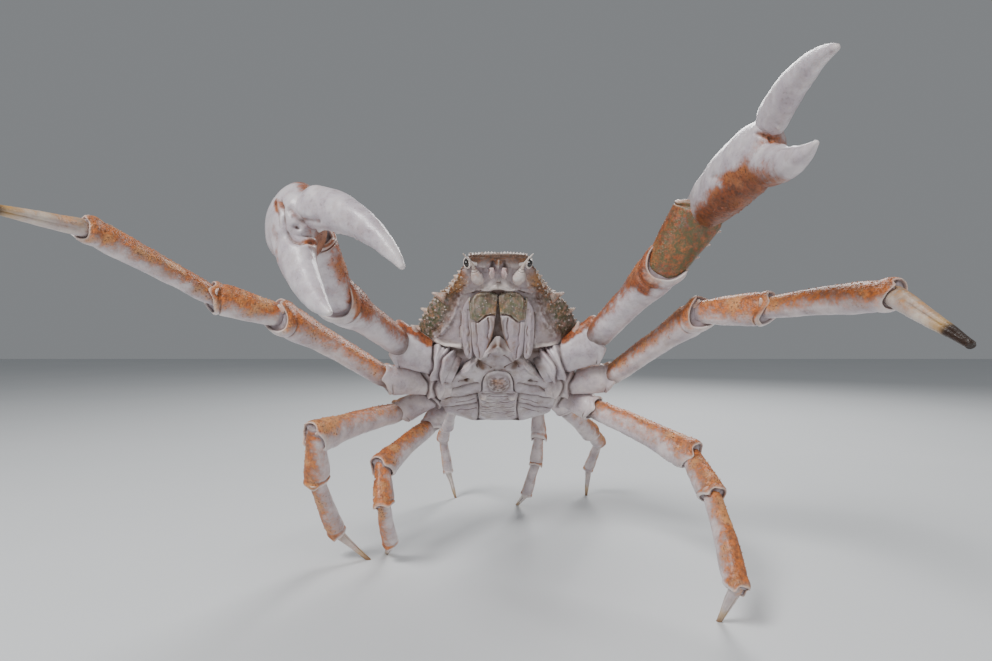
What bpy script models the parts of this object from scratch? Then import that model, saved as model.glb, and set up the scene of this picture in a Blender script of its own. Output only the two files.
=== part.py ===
"""Southern giant spider crab, a large male, life size, reared up with its claws held open.

Metres, Z up. The floor is z = 0 and the crab faces -Y, with its own left side towards +X.
"""
import math

import bmesh
import bpy
from mathutils import Vector

MM = 0.001
SIDES = (("left", 1.0), ("right", -1.0))

# Where the body sits: the middle of the breastplate above the floor, and how far the head is raised.
BODY_PLACE = Vector((0.0312, 0.0143, 0.183))
BODY_PITCH = math.radians(45.0)
FORWARD = Vector((0.0, -math.cos(BODY_PITCH), math.sin(BODY_PITCH)))
DORSAL = Vector((0.0, math.sin(BODY_PITCH), math.cos(BODY_PITCH)))
ACROSS = Vector((1.0, 0.0, 0.0))

# The gap that neighbouring pieces keep, and the depth that small forms are rooted.
GAP = 0.0004
ROOT_DEPTH = 0.0022
# How far a hip reaches back into the body from its root.
HIP_INSET = 0.013
# How far a walking tip would reach below the floor before its flat is cut.
FOOT_SINK = 0.0012

# Limb segments from the body outwards.
SEGMENTS = ("hip", "merus", "carpus", "propodus", "dactyl")
CLAW_SEGMENTS = ("hip", "merus", "carpus", "palm", "dactyl")

# For each pair of limbs: root on the body (across, forward, dorsal), segment lengths and depths, in mm.
PAIRS = {
    1: {"root": (42, -15, 10), "length": (50, 110, 52, 100), "depth": (38, 34, 37)},
    2: {"root": (52, -38, 8), "length": (55, 116, 51, 98, 75), "depth": (27, 26, 24, 21, 14)},
    3: {"root": (56, -60, 16), "length": (45, 105, 43, 71, 41), "depth": (24, 23, 20, 17, 10.5)},
    4: {"root": (52, -78, 30), "length": (40, 81, 34, 54, 38), "depth": (20, 20, 17, 14.5, 9.5)},
    5: {"root": (40, -86, 46), "length": (34, 60, 32, 50, 40), "depth": (17, 17, 16, 14, 9)},
}

# The pose: compass direction and rise of each segment, in degrees. East is +X, and north is +Y.
POSE = {
    (1, "left"): ((-9, 28), (-57, 36), (-31, 55), (-86, 11)),
    (2, "left"): ((-10, 9), (-51, 31), (-44, 2), (-67, 3), (-95, -23)),
    (3, "left"): ((-35, -15), (-45, -17), (-82, -32), (-89, -48), (105, None)),
    (4, "left"): ((56, -28), (57, -27), (61, -28), (103, -50), (105, None)),
    (5, "left"): ((83, 0), (41, -87), (113, -77), (110, -57), (109, None)),
    (1, "right"): ((-172, 24), (-113, 22), (-112, 51), (-75, -4)),
    (2, "right"): ((-162, 8), (-144, 30), (-150, 16), (-133, 27), (-110, 3)),
    (3, "right"): ((-164, -22), (-123, -5), (104, -69), (80, -56), (10, None)),
    (4, "right"): ((-124, -47), (-118, -19), (-75, -60), (90, -55), (107, None)),
    (5, "right"): ((106, -36), (106, -34), (104, -36), (76, -66), (43, None)),
}

# For each claw: the way each finger points, and the way from the fixed finger to the movable one.
CLAW_FINGERS = {
    "left": {"fixed": (-94, 1), "movable": (-94, 1), "height": (0.05, 0.0, 1.0)},
    "right": {"fixed": (-52, -29), "movable": (-38, -32), "height": (0.30, -0.18, 0.90)},
}

# Depth of a segment along its length, as shares of its length and of its depth, head first.
SEGMENT_FORM = {
    "hip": ((0.00, 0.78), (0.26, 0.98), (0.42, 0.84), (0.58, 0.92), (0.88, 1.06), (1.0, 1.00)),
    "merus": ((0.00, 0.60), (0.08, 0.80), (0.30, 0.90), (0.65, 0.98), (0.90, 1.20), (1.0, 1.16)),
    "carpus": ((0.00, 0.56), (0.14, 0.78), (0.50, 0.98), (0.84, 1.10), (1.0, 1.06)),
    "propodus": ((0.00, 0.56), (0.10, 0.80), (0.40, 0.94), (0.80, 1.06), (0.95, 1.04), (1.0, 0.96)),
    "dactyl": ((0.00, 0.70), (0.12, 0.96), (0.40, 0.82), (0.75, 0.55), (1.0, 0.36)),
}
# How many sides each pair's segments have.
PAIR_SIDES = {1: 12, 2: 10, 3: 8, 4: 8, 5: 8}
FINGER_SIDES = 10
WIDTH_SHARE = 0.86
HEAD_SHARE = 0.42
RIM_SHARE = 0.12

# Palm of the claw: place along it, and its half height and half width in mm.
PALM_FORM = ((0.0, 11, 9), (0.08, 16, 12.5), (0.28, 21, 15.5), (0.55, 24, 16.5), (0.80, 24, 15.5), (0.96, 20, 13))
REACH = {
    "movable": ((0, 12), (20, 21), (52, 30), (86, 20)),
    "fixed": ((-16, -7), (10, -14), (38, -27), (69, -20)),
}
FINGER_FORM = {
    "movable": ((0.0, 9, 7.5), (0.12, 11.5, 9), (0.35, 11, 8.5), (0.65, 8, 6.5), (0.88, 5, 4.2), (1.0, 2.6, 2.4)),
    "fixed": ((0.0, 12, 11), (0.3, 12.5, 10), (0.55, 10, 8), (0.75, 7.5, 6), (0.9, 5, 4), (1.0, 2.6, 2.2)),
}

# The shell seen from above: station along the body, half width, crown, edge level, belly level and
# half width of the belly, in mm.
SHELL = (
    (-84, 26, 50, 40, 24, 14),
    (-77, 46, 58, 40, 20, 30),
    (-64, 62, 68, 40, 15, 44),
    (-46, 77, 76, 40, 13, 50),
    (-26, 83, 80, 40, 12, 48),
    (-8, 81, 81, 39, 11, 42),
    (8, 76, 80, 39, 12, 36),
    (22, 69, 77, 38, 15, 34),
    (34, 62, 72, 38, 23, 34),
    (46, 55, 66, 38, 31, 33),
    (56, 46, 60, 38, 37, 30),
    (66, 40, 55, 39, 37, 27),
    (76, 35, 50.5, 40, 37, 24),
    (84, 31, 47.5, 41, 38.5, 22),
    (90, 26.5, 45.5, 42, 40, 21),
    (95, 24.5, 44, 42, 40.5, 20),
)
BREAST_OUTLINE = ((0, 28), (10, 17), (25, 1), (40, -17), (54, -34), (57, -45), (56, -60), (50, -74), (30, -84))
BREAST_DEPTH = 12.0

# Spines along the shell's side edge: station, reach and thickness, in mm.
EDGE_SPINES = ((72, 3.0, 2.2), (64, 3.5, 2.4), (50, 7.0, 3.2), (41, 3.5, 2.4), (31, 7.0, 3.2), (19, 4.0, 2.6),
               (8, 7.5, 3.4), (-7, 4.0, 2.8), (-22, 6.5, 3.2), (-39, 5.0, 2.8), (-55, 4.0, 2.6), (-69, 3.5, 2.4))
# Blunt points on the back: station, and the turn up from the side edge in degrees. Ninety is the middle line.
BACK_POINTS = ((64, 64), (58, 30), (46, 60), (40, 32), (30, 90), (26, 60), (18, 34), (8, 58), (4, 90), (-4, 30),
               (-16, 62), (-22, 90), (-30, 38), (-42, 64), (-50, 90), (-56, 36), (-66, 62))
BACK_POINT_REACH = 3.4
BACK_POINT_RADIUS = 2.6
FRONT_BEADS = 11
FRONT_BEAD_REACH = 1.6
FRONT_BEAD_RADIUS = 1.7

SPINES_AT_ONCE = 12

# Spines along the upper side of a segment: how many, reach and thickness in mm, and the stretch they cover.
UPPER_SPINES = {
    (1, "hip"): (1, 9.0, 6.0, 0.86, 0.86),
    (1, "merus"): (5, 3.2, 3.4, 0.30, 0.92),
    (1, "carpus"): (4, 3.4, 3.2, 0.30, 0.82),
    (2, "merus"): (4, 2.4, 2.8, 0.34, 0.92),
    (2, "carpus"): (2, 2.2, 2.6, 0.42, 0.82),
    (3, "merus"): (4, 2.2, 2.6, 0.40, 0.92),
    (3, "carpus"): (2, 2.0, 2.4, 0.45, 0.82),
    (4, "merus"): (3, 2.0, 2.4, 0.45, 0.92),
    (4, "carpus"): (2, 1.8, 2.2, 0.45, 0.82),
    (5, "merus"): (2, 1.8, 2.2, 0.50, 0.88),
}
SPINE_LEAN = 0.55

# Knobs at each side of a cupped end, on which the next segment turns: reach and thickness as shares of depth.
KNOB_SEGMENTS = ("merus", "carpus")
KNOB_PAIRS = (1, 2, 3)
KNOB_REACH = 0.20
KNOB_RADIUS = 0.17

# Blunt teeth along the inner edges of the fingers: share of the finger, reach and thickness in mm.
TEETH = {
    "movable": ((0.26, 4.0, 3.4), (0.44, 2.4, 2.6), (0.62, 1.8, 2.2)),
    "fixed": ((0.42, 3.5, 3.2), (0.56, 2.4, 2.6), (0.70, 1.8, 2.2)),
}
TOOTH_FACING = {"movable": -1.0, "fixed": 1.0}

COLOURS = {
    "shell": (0.42, 0.27, 0.13),
    "underside": (0.74, 0.68, 0.68),
    "limb": (0.76, 0.55, 0.42),
    "claw": (0.80, 0.70, 0.66),
    "eye": (0.02, 0.02, 0.025),
}


def clear_scene():
    for item in list(bpy.data.objects):
        bpy.data.objects.remove(item, do_unlink=True)


def body_point(across, forward, dorsal):
    """A place on the body, in millimetres across, towards the head and towards the back."""
    return BODY_PLACE + (ACROSS * across + FORWARD * forward + DORSAL * dorsal) * MM


def heading(azimuth, rise):
    level = math.cos(math.radians(rise))
    turn = math.radians(azimuth)
    return Vector((level * math.cos(turn), level * math.sin(turn), math.sin(math.radians(rise))))


def shell_material(kind):
    material = bpy.data.materials.get(kind)
    if material is None:
        material = bpy.data.materials.new(kind)
        material.use_nodes = True
        shader = material.node_tree.nodes["Principled BSDF"]
        shader.inputs["Base Color"].default_value = (*COLOURS[kind], 1.0)
        shader.inputs["Roughness"].default_value = 0.15 if kind == "eye" else 0.5
        shader.inputs["Metallic"].default_value = 0.0
    return material


def add_object(name, bm, kind=None):
    """Turn a bmesh into an object with its faces pointing out, as triangles."""
    bmesh.ops.triangulate(bm, faces=bm.faces[:])
    bmesh.ops.recalc_face_normals(bm, faces=bm.faces[:])
    mesh = bpy.data.meshes.new(name)
    bm.to_mesh(mesh)
    bm.free()
    item = bpy.data.objects.new(name, mesh)
    bpy.context.collection.objects.link(item)
    if kind:
        mesh.materials.append(shell_material(kind))
    return item


def loft(name, rings, ends, kind=None):
    """A closed body through rings of points, with a single point at each end."""
    bm = bmesh.new()
    made = [[bm.verts.new(point) for point in ring] for ring in rings]
    count = len(made[0])
    for first, second in zip(made, made[1:]):
        for k in range(count):
            bm.faces.new((first[k], first[(k + 1) % count], second[(k + 1) % count], second[k]))
    for ring, end in ((made[0], ends[0]), (made[-1], ends[1])):
        pole = bm.verts.new(end)
        for k in range(count):
            bm.faces.new((ring[k], pole, ring[(k + 1) % count]))
    return add_object(name, bm, kind)


def oval_ring(centre, side, up, width, height, count):
    ring = []
    for k in range(count):
        angle = 2.0 * math.pi * k / count
        ring.append(centre + side * width * math.cos(angle) + up * height * math.sin(angle))
    return ring


def across_path(tangent, up):
    """Side and upright directions square to a path."""
    side = tangent.cross(up).normalized()
    return side, side.cross(tangent).normalized()


def tube(name, stations, up, count, kind=None, bulge=0.35):
    """A closed body along stations of place, half height and half width."""
    rings = []
    last = len(stations) - 1
    for k, (place, height, width) in enumerate(stations):
        tangent = (stations[min(k + 1, last)][0] - stations[max(k - 1, 0)][0]).normalized()
        side, upright = across_path(tangent, up)
        rings.append(oval_ring(place, side, upright, width, height, count))
    start = stations[0][0] - (stations[1][0] - stations[0][0]).normalized() * stations[0][1] * bulge
    end = stations[last][0] + (stations[last][0] - stations[last - 1][0]).normalized() * stations[last][1] * bulge
    return loft(name, rings, (start, end), kind)


def bezier(points, share):
    """A place on the smooth curve that four points steer."""
    a, b, c, d = points
    rest = 1.0 - share
    return a * rest ** 3 + b * (3 * rest * rest * share) + c * (3 * rest * share * share) + d * share ** 3


def swollen(item, gap=GAP):
    """A copy of a body that stands proud of it by the gap, used to cut its neighbours."""
    bm = bmesh.new()
    bm.from_mesh(item.data)
    bm.normal_update()
    moves = [vert.normal * gap * min(vert.calc_shell_factor(), 2.0) for vert in bm.verts]
    for vert, move in zip(bm.verts, moves):
        vert.co += move
    return add_object(item.name + "_cutter", bm)


def largest_surface(bm):
    """Keep only the largest closed surface of a mesh."""
    left = set(bm.faces)
    shells = []
    while left:
        stack = [left.pop()]
        shell = []
        while stack:
            face = stack.pop()
            shell.append(face)
            for edge in face.edges:
                for other in edge.link_faces:
                    if other in left:
                        left.discard(other)
                        stack.append(other)
        shells.append(shell)
    shells.sort(key=lambda shell: sum(face.calc_area() for face in shell), reverse=True)
    spare = [face for shell in shells[1:] for face in shell]
    if spare:
        bmesh.ops.delete(bm, geom=spare, context="FACES")
        loose = [vert for vert in bm.verts if not vert.link_faces]
        bmesh.ops.delete(bm, geom=loose, context="VERTS")


def settle(item):
    """Apply an object's modifiers, merge doubled points and drop loose scraps."""
    graph = bpy.context.evaluated_depsgraph_get()
    graph.update()
    mesh = bpy.data.meshes.new_from_object(item.evaluated_get(graph))
    bm = bmesh.new()
    bm.from_mesh(mesh)
    bmesh.ops.triangulate(bm, faces=bm.faces[:])
    bmesh.ops.remove_doubles(bm, verts=bm.verts[:], dist=0.00001)
    bmesh.ops.dissolve_degenerate(bm, edges=bm.edges[:], dist=0.00001)
    largest_surface(bm)
    bmesh.ops.triangulate(bm, faces=bm.faces[:])
    item.modifiers.clear()
    bm.to_mesh(item.data)
    bm.free()
    bpy.data.meshes.remove(mesh)
    return item


def combine(item, others, operation):
    """One Boolean on a collection of closed bodies, which are then removed."""
    if not others:
        return item
    group = bpy.data.collections.new("tools")
    for other in others:
        group.objects.link(other)
    change = item.modifiers.new(operation.lower(), "BOOLEAN")
    change.operation = operation
    change.operand_type = "COLLECTION"
    change.collection = group
    change.solver = "EXACT"
    settle(item)
    for other in others:
        bpy.data.objects.remove(other, do_unlink=True)
    bpy.data.collections.remove(group)
    return item


def carve(item, neighbours):
    for neighbour in neighbours:
        combine(item, [swollen(neighbour)], "DIFFERENCE")
    return item


def remove(items):
    for item in items:
        bpy.data.objects.remove(item, do_unlink=True)


def spine(base, direction, length, radius, count=5):
    """A blunt tapered point, rooted in the surface that it grows from."""
    direction = direction.normalized()
    helper = Vector((0.0, 0.0, 1.0)) if abs(direction.z) < 0.9 else Vector((1.0, 0.0, 0.0))
    side, upright = across_path(direction, helper)
    low = base - direction * ROOT_DEPTH
    ring = oval_ring(low, side, upright, radius * 1.15, radius * 1.15, count)
    return loft("spine", [ring], (low - direction * radius * 0.2, base + direction * length))


def limb_joints(pair, hand):
    """The joint places of one limb, from its root to its tip."""
    sign = 1.0 if hand == "left" else -1.0
    across, forward, dorsal = PAIRS[pair]["root"]
    places = [body_point(sign * across, forward, dorsal)]
    for length, (azimuth, rise) in zip(PAIRS[pair]["length"], POSE[(pair, hand)]):
        start = places[-1]
        if rise is None:
            fall = min(0.98, (start.z + FOOT_SINK) / (length * MM))
            rise = -math.degrees(math.asin(fall))
        places.append(start + heading(azimuth, rise) * length * MM)
    return places


def limb_upper(joints):
    """The way the upper side of a limb faces: outwards from the body, and up."""
    middle = joints[2] - BODY_PLACE
    level = Vector((middle.x, middle.y, 0.0)).normalized()
    return (level + Vector((0.0, 0.0, 1.0))).normalized()


def segment_reach(segment, start, end, depth):
    """Where a segment's body begins and ends, with its sunk head and its rim."""
    axis = (end - start).normalized()
    head = HIP_INSET if segment == "hip" else depth * MM * HEAD_SHARE
    rim = 0.0 if segment == "dactyl" else depth * MM * RIM_SHARE
    return start - axis * head, end + axis * rim


def segment_blank(name, segment, start, end, depth, upper, kind, count):
    """The plain body of one segment, its head sunk back into the segment before."""
    first, last = segment_reach(segment, start, end, depth)
    half = depth * MM / 2.0
    stations = []
    for share, size in SEGMENT_FORM[segment]:
        stations.append((first.lerp(last, share), half * size, half * size * WIDTH_SHARE))
    return tube(name, stations, upper, count, kind)


def form_size(form, share):
    """The size that a form gives at a share of its length."""
    for (low, small), (high, large) in zip(form, form[1:]):
        if share <= high:
            return small + (large - small) * (share - low) / (high - low)
    return form[-1][1]


def segment_spines(pair, segment, start, end, upper):
    """The spines on a segment's upper side, and the knobs at its cupped end."""
    depth = PAIRS[pair]["depth"][SEGMENTS.index(segment)]
    first, last = segment_reach(segment, start, end, depth)
    axis = (last - first).normalized()
    side, upright = across_path(axis, upper)
    half = depth * MM / 2.0
    parts = []
    if (pair, segment) in UPPER_SPINES:
        count, reach, radius, low, high = UPPER_SPINES[(pair, segment)]
        for k in range(count):
            share = low + (high - low) * k / max(count - 1, 1)
            base = first.lerp(last, share) + upright * half * form_size(SEGMENT_FORM[segment], share) * 0.96
            parts.append(spine(base, upright + axis * SPINE_LEAN, reach * MM, radius * MM * 0.5, 4))
    if segment in KNOB_SEGMENTS and pair in KNOB_PAIRS:
        for sign in (1.0, -1.0):
            base = last + side * sign * half * WIDTH_SHARE * 0.78 - axis * half * 0.1
            parts.append(spine(base, axis, depth * MM * KNOB_REACH, depth * MM * KNOB_RADIUS))
    return parts


def palm_blank(name, hand, joints, kind):
    """The palm with its fixed finger, before the movable finger's socket is cut."""
    axis = (joints[4] - joints[3]).normalized()
    fingers = CLAW_FINGERS[hand]
    finger_axis = heading(*fingers["movable"])
    start = joints[3] - axis * 0.014
    end = joints[4]
    reach = (end - start).length
    steer = (start, start + axis * reach * 0.4, end - (axis + finger_axis).normalized() * reach * 0.35, end)
    stations = [(bezier(steer, share), high * MM, wide * MM) for share, high, wide in PALM_FORM]
    palm = tube(name, stations, Vector(fingers["height"]), PAIR_SIDES[1], kind)
    fixed = finger_blank(name + "_fixed", "fixed", hand, end)
    return combine(palm, [fixed] + finger_teeth("fixed", hand, end), "UNION")


def finger_curve(which, hand, end):
    """The four steering points of a finger, and the claw's height direction."""
    axis = heading(*CLAW_FINGERS[hand][which])
    up = Vector(CLAW_FINGERS[hand]["height"])
    up = (up - axis * up.dot(axis)).normalized()
    return [end + axis * along * MM + up * high * MM for along, high in REACH[which]], up


def finger_blank(name, which, hand, end, kind=None):
    """A curved, tapering finger in the plane of the claw."""
    points, up = finger_curve(which, hand, end)
    stations = [(bezier(points, share), tall * MM, wide * MM) for share, tall, wide in FINGER_FORM[which]]
    return tube(name, stations, up, FINGER_SIDES, kind)


def finger_teeth(which, hand, end):
    """Blunt teeth along a finger's inner edge."""
    points, up = finger_curve(which, hand, end)
    heights = [(share, tall) for share, tall, _ in FINGER_FORM[which]]
    inward = up * TOOTH_FACING[which]
    parts = []
    for share, reach, radius in TEETH[which]:
        base = bezier(points, share) + inward * form_size(heights, share) * MM * 0.9
        parts.append(spine(base, inward, reach * MM, radius * MM))
    return parts


def trim_at_floor(item):
    """Cut the small flat on which a walking tip stands."""
    bm = bmesh.new()
    bm.from_mesh(item.data)
    every = bm.verts[:] + bm.edges[:] + bm.faces[:]
    bmesh.ops.bisect_plane(bm, geom=every, plane_co=(0, 0, 0), plane_no=(0, 0, -1), clear_outer=True, dist=1e-7)
    bmesh.ops.holes_fill(bm, edges=[edge for edge in bm.edges if edge.is_boundary], sides=0)
    bmesh.ops.triangulate(bm, faces=bm.faces[:])
    bm.to_mesh(item.data)
    bm.free()


def limb_blanks(pair, hand):
    """The five plain segments of one limb, from hip to tip."""
    joints = limb_joints(pair, hand)
    upper = limb_upper(joints)
    claw = pair == 1
    names = CLAW_SEGMENTS if claw else SEGMENTS
    stem = f"claw_{hand}_" if claw else f"leg{pair}_{hand}_"
    kind = "claw" if claw else "limb"
    blanks = []
    for k, segment in enumerate(names):
        name = stem + segment
        if segment == "palm":
            blanks.append(palm_blank(name, hand, joints, kind))
        elif claw and segment == "dactyl":
            blanks.append(finger_blank(name, "movable", hand, joints[4], kind))
        else:
            depth = PAIRS[pair]["depth"][k]
            blanks.append(segment_blank(name, segment, joints[k], joints[k + 1], depth, upper, kind, PAIR_SIDES[pair]))
    if POSE[(pair, hand)][-1][1] is None:
        trim_at_floor(blanks[4])
    return blanks


def shell_ring(station, half_width, crown, edge, belly, belly_half):
    """One cross-section of the body: flat belly, sloping flank, sharp side edge and arched back."""
    half = [(0.0, belly), (0.55 * belly_half, belly), (belly_half, belly)]
    for share, lift in ((0.35, 0.16), (0.72, 0.52)):
        half.append((belly_half + (half_width - belly_half) * share, belly + (edge - belly) * lift))
    half.append((half_width, edge))
    for angle in (16, 34, 52, 70):
        turn = math.radians(angle)
        half.append((half_width * math.cos(turn) ** 0.85, edge + (crown - edge) * math.sin(turn) ** 0.9))
    half.append((0.0, crown))
    ring = [body_point(u, station, w) for u, w in half]
    ring += [body_point(-u, station, w) for u, w in reversed(half[1:-1])]
    return ring


def carapace_blank():
    rings = [shell_ring(*row) for row in SHELL]
    ends = (body_point(0, -87, 38), body_point(0, 94.5, 42.3))
    return loft("carapace", rings, ends, "shell")


def shell_row(station):
    """The shell's sizes at a station between two of its rows."""
    for near, far in zip(SHELL, SHELL[1:]):
        if station <= far[0]:
            share = (station - near[0]) / (far[0] - near[0])
            return [a + (b - a) * share for a, b in zip(near, far)]
    return list(SHELL[-1])


def back_place(station, turn):
    """Across and dorsal place on the arched back, at a turn up from the side edge."""
    _, half_width, crown, edge = shell_row(station)[:4]
    angle = math.radians(turn)
    return half_width * math.cos(angle) ** 0.85, edge + (crown - edge) * math.sin(angle) ** 0.9


def shell_spines():
    """Side spines, blunt points on the back and the bead fringe along the front."""
    parts = []
    for _, sign in SIDES:
        for station, reach, radius in EDGE_SPINES:
            half_width, edge = shell_row(station)[1], shell_row(station)[3]
            base = body_point(sign * (half_width - 0.6), station, edge + 0.6)
            direction = ACROSS * sign + FORWARD * 0.25 + DORSAL * 0.3
            parts.append(spine(base, direction, reach * MM, radius * MM))
    for station, turn in BACK_POINTS:
        u, w = back_place(station, turn)
        sides = (1.0,) if turn == 90 else (1.0, -1.0)
        for sign in sides:
            angle = math.radians(turn)
            direction = ACROSS * sign * math.cos(angle) + DORSAL * math.sin(angle) + FORWARD * 0.15
            parts.append(spine(body_point(sign * u, station, w), direction, BACK_POINT_REACH * MM,
                               BACK_POINT_RADIUS * MM))
    half = SHELL[-1][1]
    for k in range(FRONT_BEADS):
        u = half * (2.0 * k / (FRONT_BEADS - 1) - 1.0) * 0.94
        parts.append(spine(body_point(u, 94.4, 42.3), FORWARD, FRONT_BEAD_REACH * MM, FRONT_BEAD_RADIUS * MM, 4))
    return parts


def breastplate_blank():
    """The shield between the legs: a thick plate with a low ridge down to its edges."""
    outline = list(BREAST_OUTLINE) + [(-u, v) for u, v in reversed(BREAST_OUTLINE[1:])]
    low = []
    high = []
    for u, v in outline:
        low.append(body_point(u, v, 2.0))
        high.append(body_point(u * 0.94, v, BREAST_DEPTH))
    middle = [body_point(u * 0.9, v * 0.92 - 2.0, 0.0) for u, v in outline]
    centre = body_point(0, -36, 0.0)
    return loft("sternum", [middle, low, high], (centre, body_point(0, -36, BREAST_DEPTH)), "underside")


ABDOMEN_PATH = (
    (-9, 1.5, 7), (-14, 1.2, 11.5), (-26, 1.0, 13.5), (-38, 1.0, 14.5), (-43, 1.0, 20.5), (-47, 1.2, 19),
    (-60, 1.2, 18), (-74, 1.6, 18.5), (-84, 4, 20), (-91, 12, 22), (-93, 24, 23), (-90, 34, 22),
)
ABDOMEN_HALF_DEPTH = 2.8


def abdomen_blank():
    """The narrow male tail, folded under the body, with its round last plate in front."""
    stations = []
    for forward, dorsal, half in ABDOMEN_PATH:
        stations.append((body_point(0, forward, dorsal), ABDOMEN_HALF_DEPTH * MM, half * MM))
    rings = []
    last = len(stations) - 1
    for k, (place, height, width) in enumerate(stations):
        tangent = (stations[min(k + 1, last)][0] - stations[max(k - 1, 0)][0]).normalized()
        upright = ACROSS.cross(tangent).normalized()
        rings.append(oval_ring(place, ACROSS, upright, width, height, 12))
    return loft("abdomen", rings, (body_point(0, -7.5, 1.5), body_point(0, -89, 36)), "underside")


# The mouth cover lies on a slope from the breastplate up to the lip under the front.
MOUTH_FOOT = (10.0, 0.0)
MOUTH_TOP = (59.0, 34.0)
MOUTH_COVER_DEPTH = 7.0
ENDOPOD = ((3.0, 14), (1.2, 26), (0.8, 40), (1.2, 56), (6, 59.5), (16, 60), (23, 57), (25, 50), (24.6, 30), (22, 4),
           (16, -2), (9, 1))
EXOPOD = ((24, 54), (29, 50), (32, 42), (32.8, 28), (31, 6), (27, -1), (22, 3), (22, 30))


def mouth_point(across, along, lift):
    """A place on the mouth cover: across, up the slope, and out from it, in millimetres."""
    run = Vector((MOUTH_TOP[0] - MOUTH_FOOT[0], MOUTH_TOP[1] - MOUTH_FOOT[1]))
    slope = run.normalized()
    forward = MOUTH_FOOT[0] + slope.x * along + slope.y * lift
    dorsal = MOUTH_FOOT[1] + slope.y * along - slope.x * lift
    return body_point(across, forward, dorsal)


def mouth_plate(name, outline, sign, lift, kind=None):
    """A cushioned plate with rounded edges."""
    centre = [sum(point[i] for point in outline) / len(outline) for i in (0, 1)]
    rings = []
    for inset, level in ((0.0, -MOUTH_COVER_DEPTH), (0.0, lift - 2.0), (1.4, lift)):
        ring = []
        for u, v in outline:
            away = Vector((u - centre[0], v - centre[1]))
            shrink = max(0.0, 1.0 - inset / max(away.length, 1.0))
            ring.append(mouth_point(sign * (centre[0] + away.x * shrink), centre[1] + away.y * shrink, level))
        rings.append(ring)
    ends = (mouth_point(sign * centre[0], centre[1], -MOUTH_COVER_DEPTH), mouth_point(sign * centre[0], centre[1], lift))
    return loft(name, rings, ends, kind)


EYE_PLACE = (27.0, 87.5, 40.5)
EYE_HALF = (2.7, 3.0, 4.3)


def eye_blank(hand, sign):
    """An oval eye on a short stalk that runs in under the front."""
    u, v, w = EYE_PLACE
    rings = []
    for angle in (-70, -45, -15, 15, 45, 70):
        turn = math.radians(angle)
        out = math.sin(turn) * EYE_HALF[0]
        ring = []
        for k in range(8):
            spin = 2.0 * math.pi * k / 8
            size = math.cos(turn)
            ring.append(body_point(sign * (u + out), v + math.sin(spin) * size * EYE_HALF[1],
                                   w + math.cos(spin) * size * EYE_HALF[2]))
        rings.append(ring)
    stalk = [body_point(sign * (u - 8.0), v - 1.5 + math.sin(2.0 * math.pi * k / 8) * 1.6,
                        w + math.cos(2.0 * math.pi * k / 8) * 1.8) for k in range(8)]
    ends = (body_point(sign * (u - 9.0), v - 1.5, w), body_point(sign * (u + EYE_HALF[0]), v, w))
    return loft(f"eye_{hand}", [stalk] + rings, ends, "eye")


ANTENNA_PATH = ((16.5, 70, 36.5, 4.6), (18.5, 75, 35.6, 5.4), (20.0, 80, 36.2, 3.6), (20.8, 84, 37.0, 1.7),
                (22.5, 89, 37.0, 1.0), (25.5, 95, 36.0, 0.75), (29.5, 101, 35.5, 0.45))


def antenna_blank(hand, sign):
    """A swollen base beside the mouth, and a short feeler out under the eye."""
    stations = []
    for u, v, w, half in ANTENNA_PATH:
        stations.append((body_point(sign * u, v, w), half * MM, half * MM))
    return tube(f"antenna_{hand}", stations, DORSAL, 8, "underside")


def add_limb_spines(pair, hand, segments):
    joints = limb_joints(pair, hand)
    upper = limb_upper(joints)
    for k, segment in enumerate(SEGMENTS[:3]):
        combine(segments[k], segment_spines(pair, segment, joints[k], joints[k + 1], upper), "UNION")
    if pair == 1:
        combine(segments[4], finger_teeth("movable", hand, joints[4]), "UNION")


def build_limbs():
    """All ten limbs, each segment socketed for the next one."""
    blanks = {}
    for hand, _ in SIDES:
        for pair in PAIRS:
            blanks[(pair, hand)] = limb_blanks(pair, hand)
    cutters = [swollen(segments[0]) for segments in blanks.values()]
    for hand, _ in SIDES:
        for pair in PAIRS:
            segments = blanks[(pair, hand)]
            sockets = [swollen(segment) for segment in segments[1:]]
            add_limb_spines(pair, hand, segments)
            for near, socket in zip(segments, sockets):
                combine(near, [socket], "DIFFERENCE")
            if pair > 1:
                carve(segments[0], [blanks[(pair - 1, hand)][0]])
    return cutters


def build():
    clear_scene()
    carapace = carapace_blank()
    sternum = breastplate_blank()
    abdomen = abdomen_blank()
    carve(carapace, [sternum, abdomen])
    carve(sternum, [abdomen])
    for hand, sign in SIDES:
        plate = mouth_plate(f"maxilliped_{hand}", ENDOPOD, sign, 0.0, "underside")
        strip = mouth_plate("strip", EXOPOD, sign, -1.0)
        eye = eye_blank(hand, sign)
        antenna = antenna_blank(hand, sign)
        carve(carapace, [plate, strip, eye, antenna])
        mouth = combine(plate, [strip], "UNION")
        carve(mouth, [sternum])
    spines = shell_spines()
    for k in range(0, len(spines), SPINES_AT_ONCE):
        combine(carapace, spines[k:k + SPINES_AT_ONCE], "UNION")
    cutters = build_limbs()
    for body in (carapace, sternum):
        for cutter in cutters:
            copy = bpy.data.objects.new("cutter", cutter.data.copy())
            bpy.context.collection.objects.link(copy)
            combine(body, [copy], "DIFFERENCE")
    remove(cutters)


build()
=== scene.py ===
import math

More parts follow.
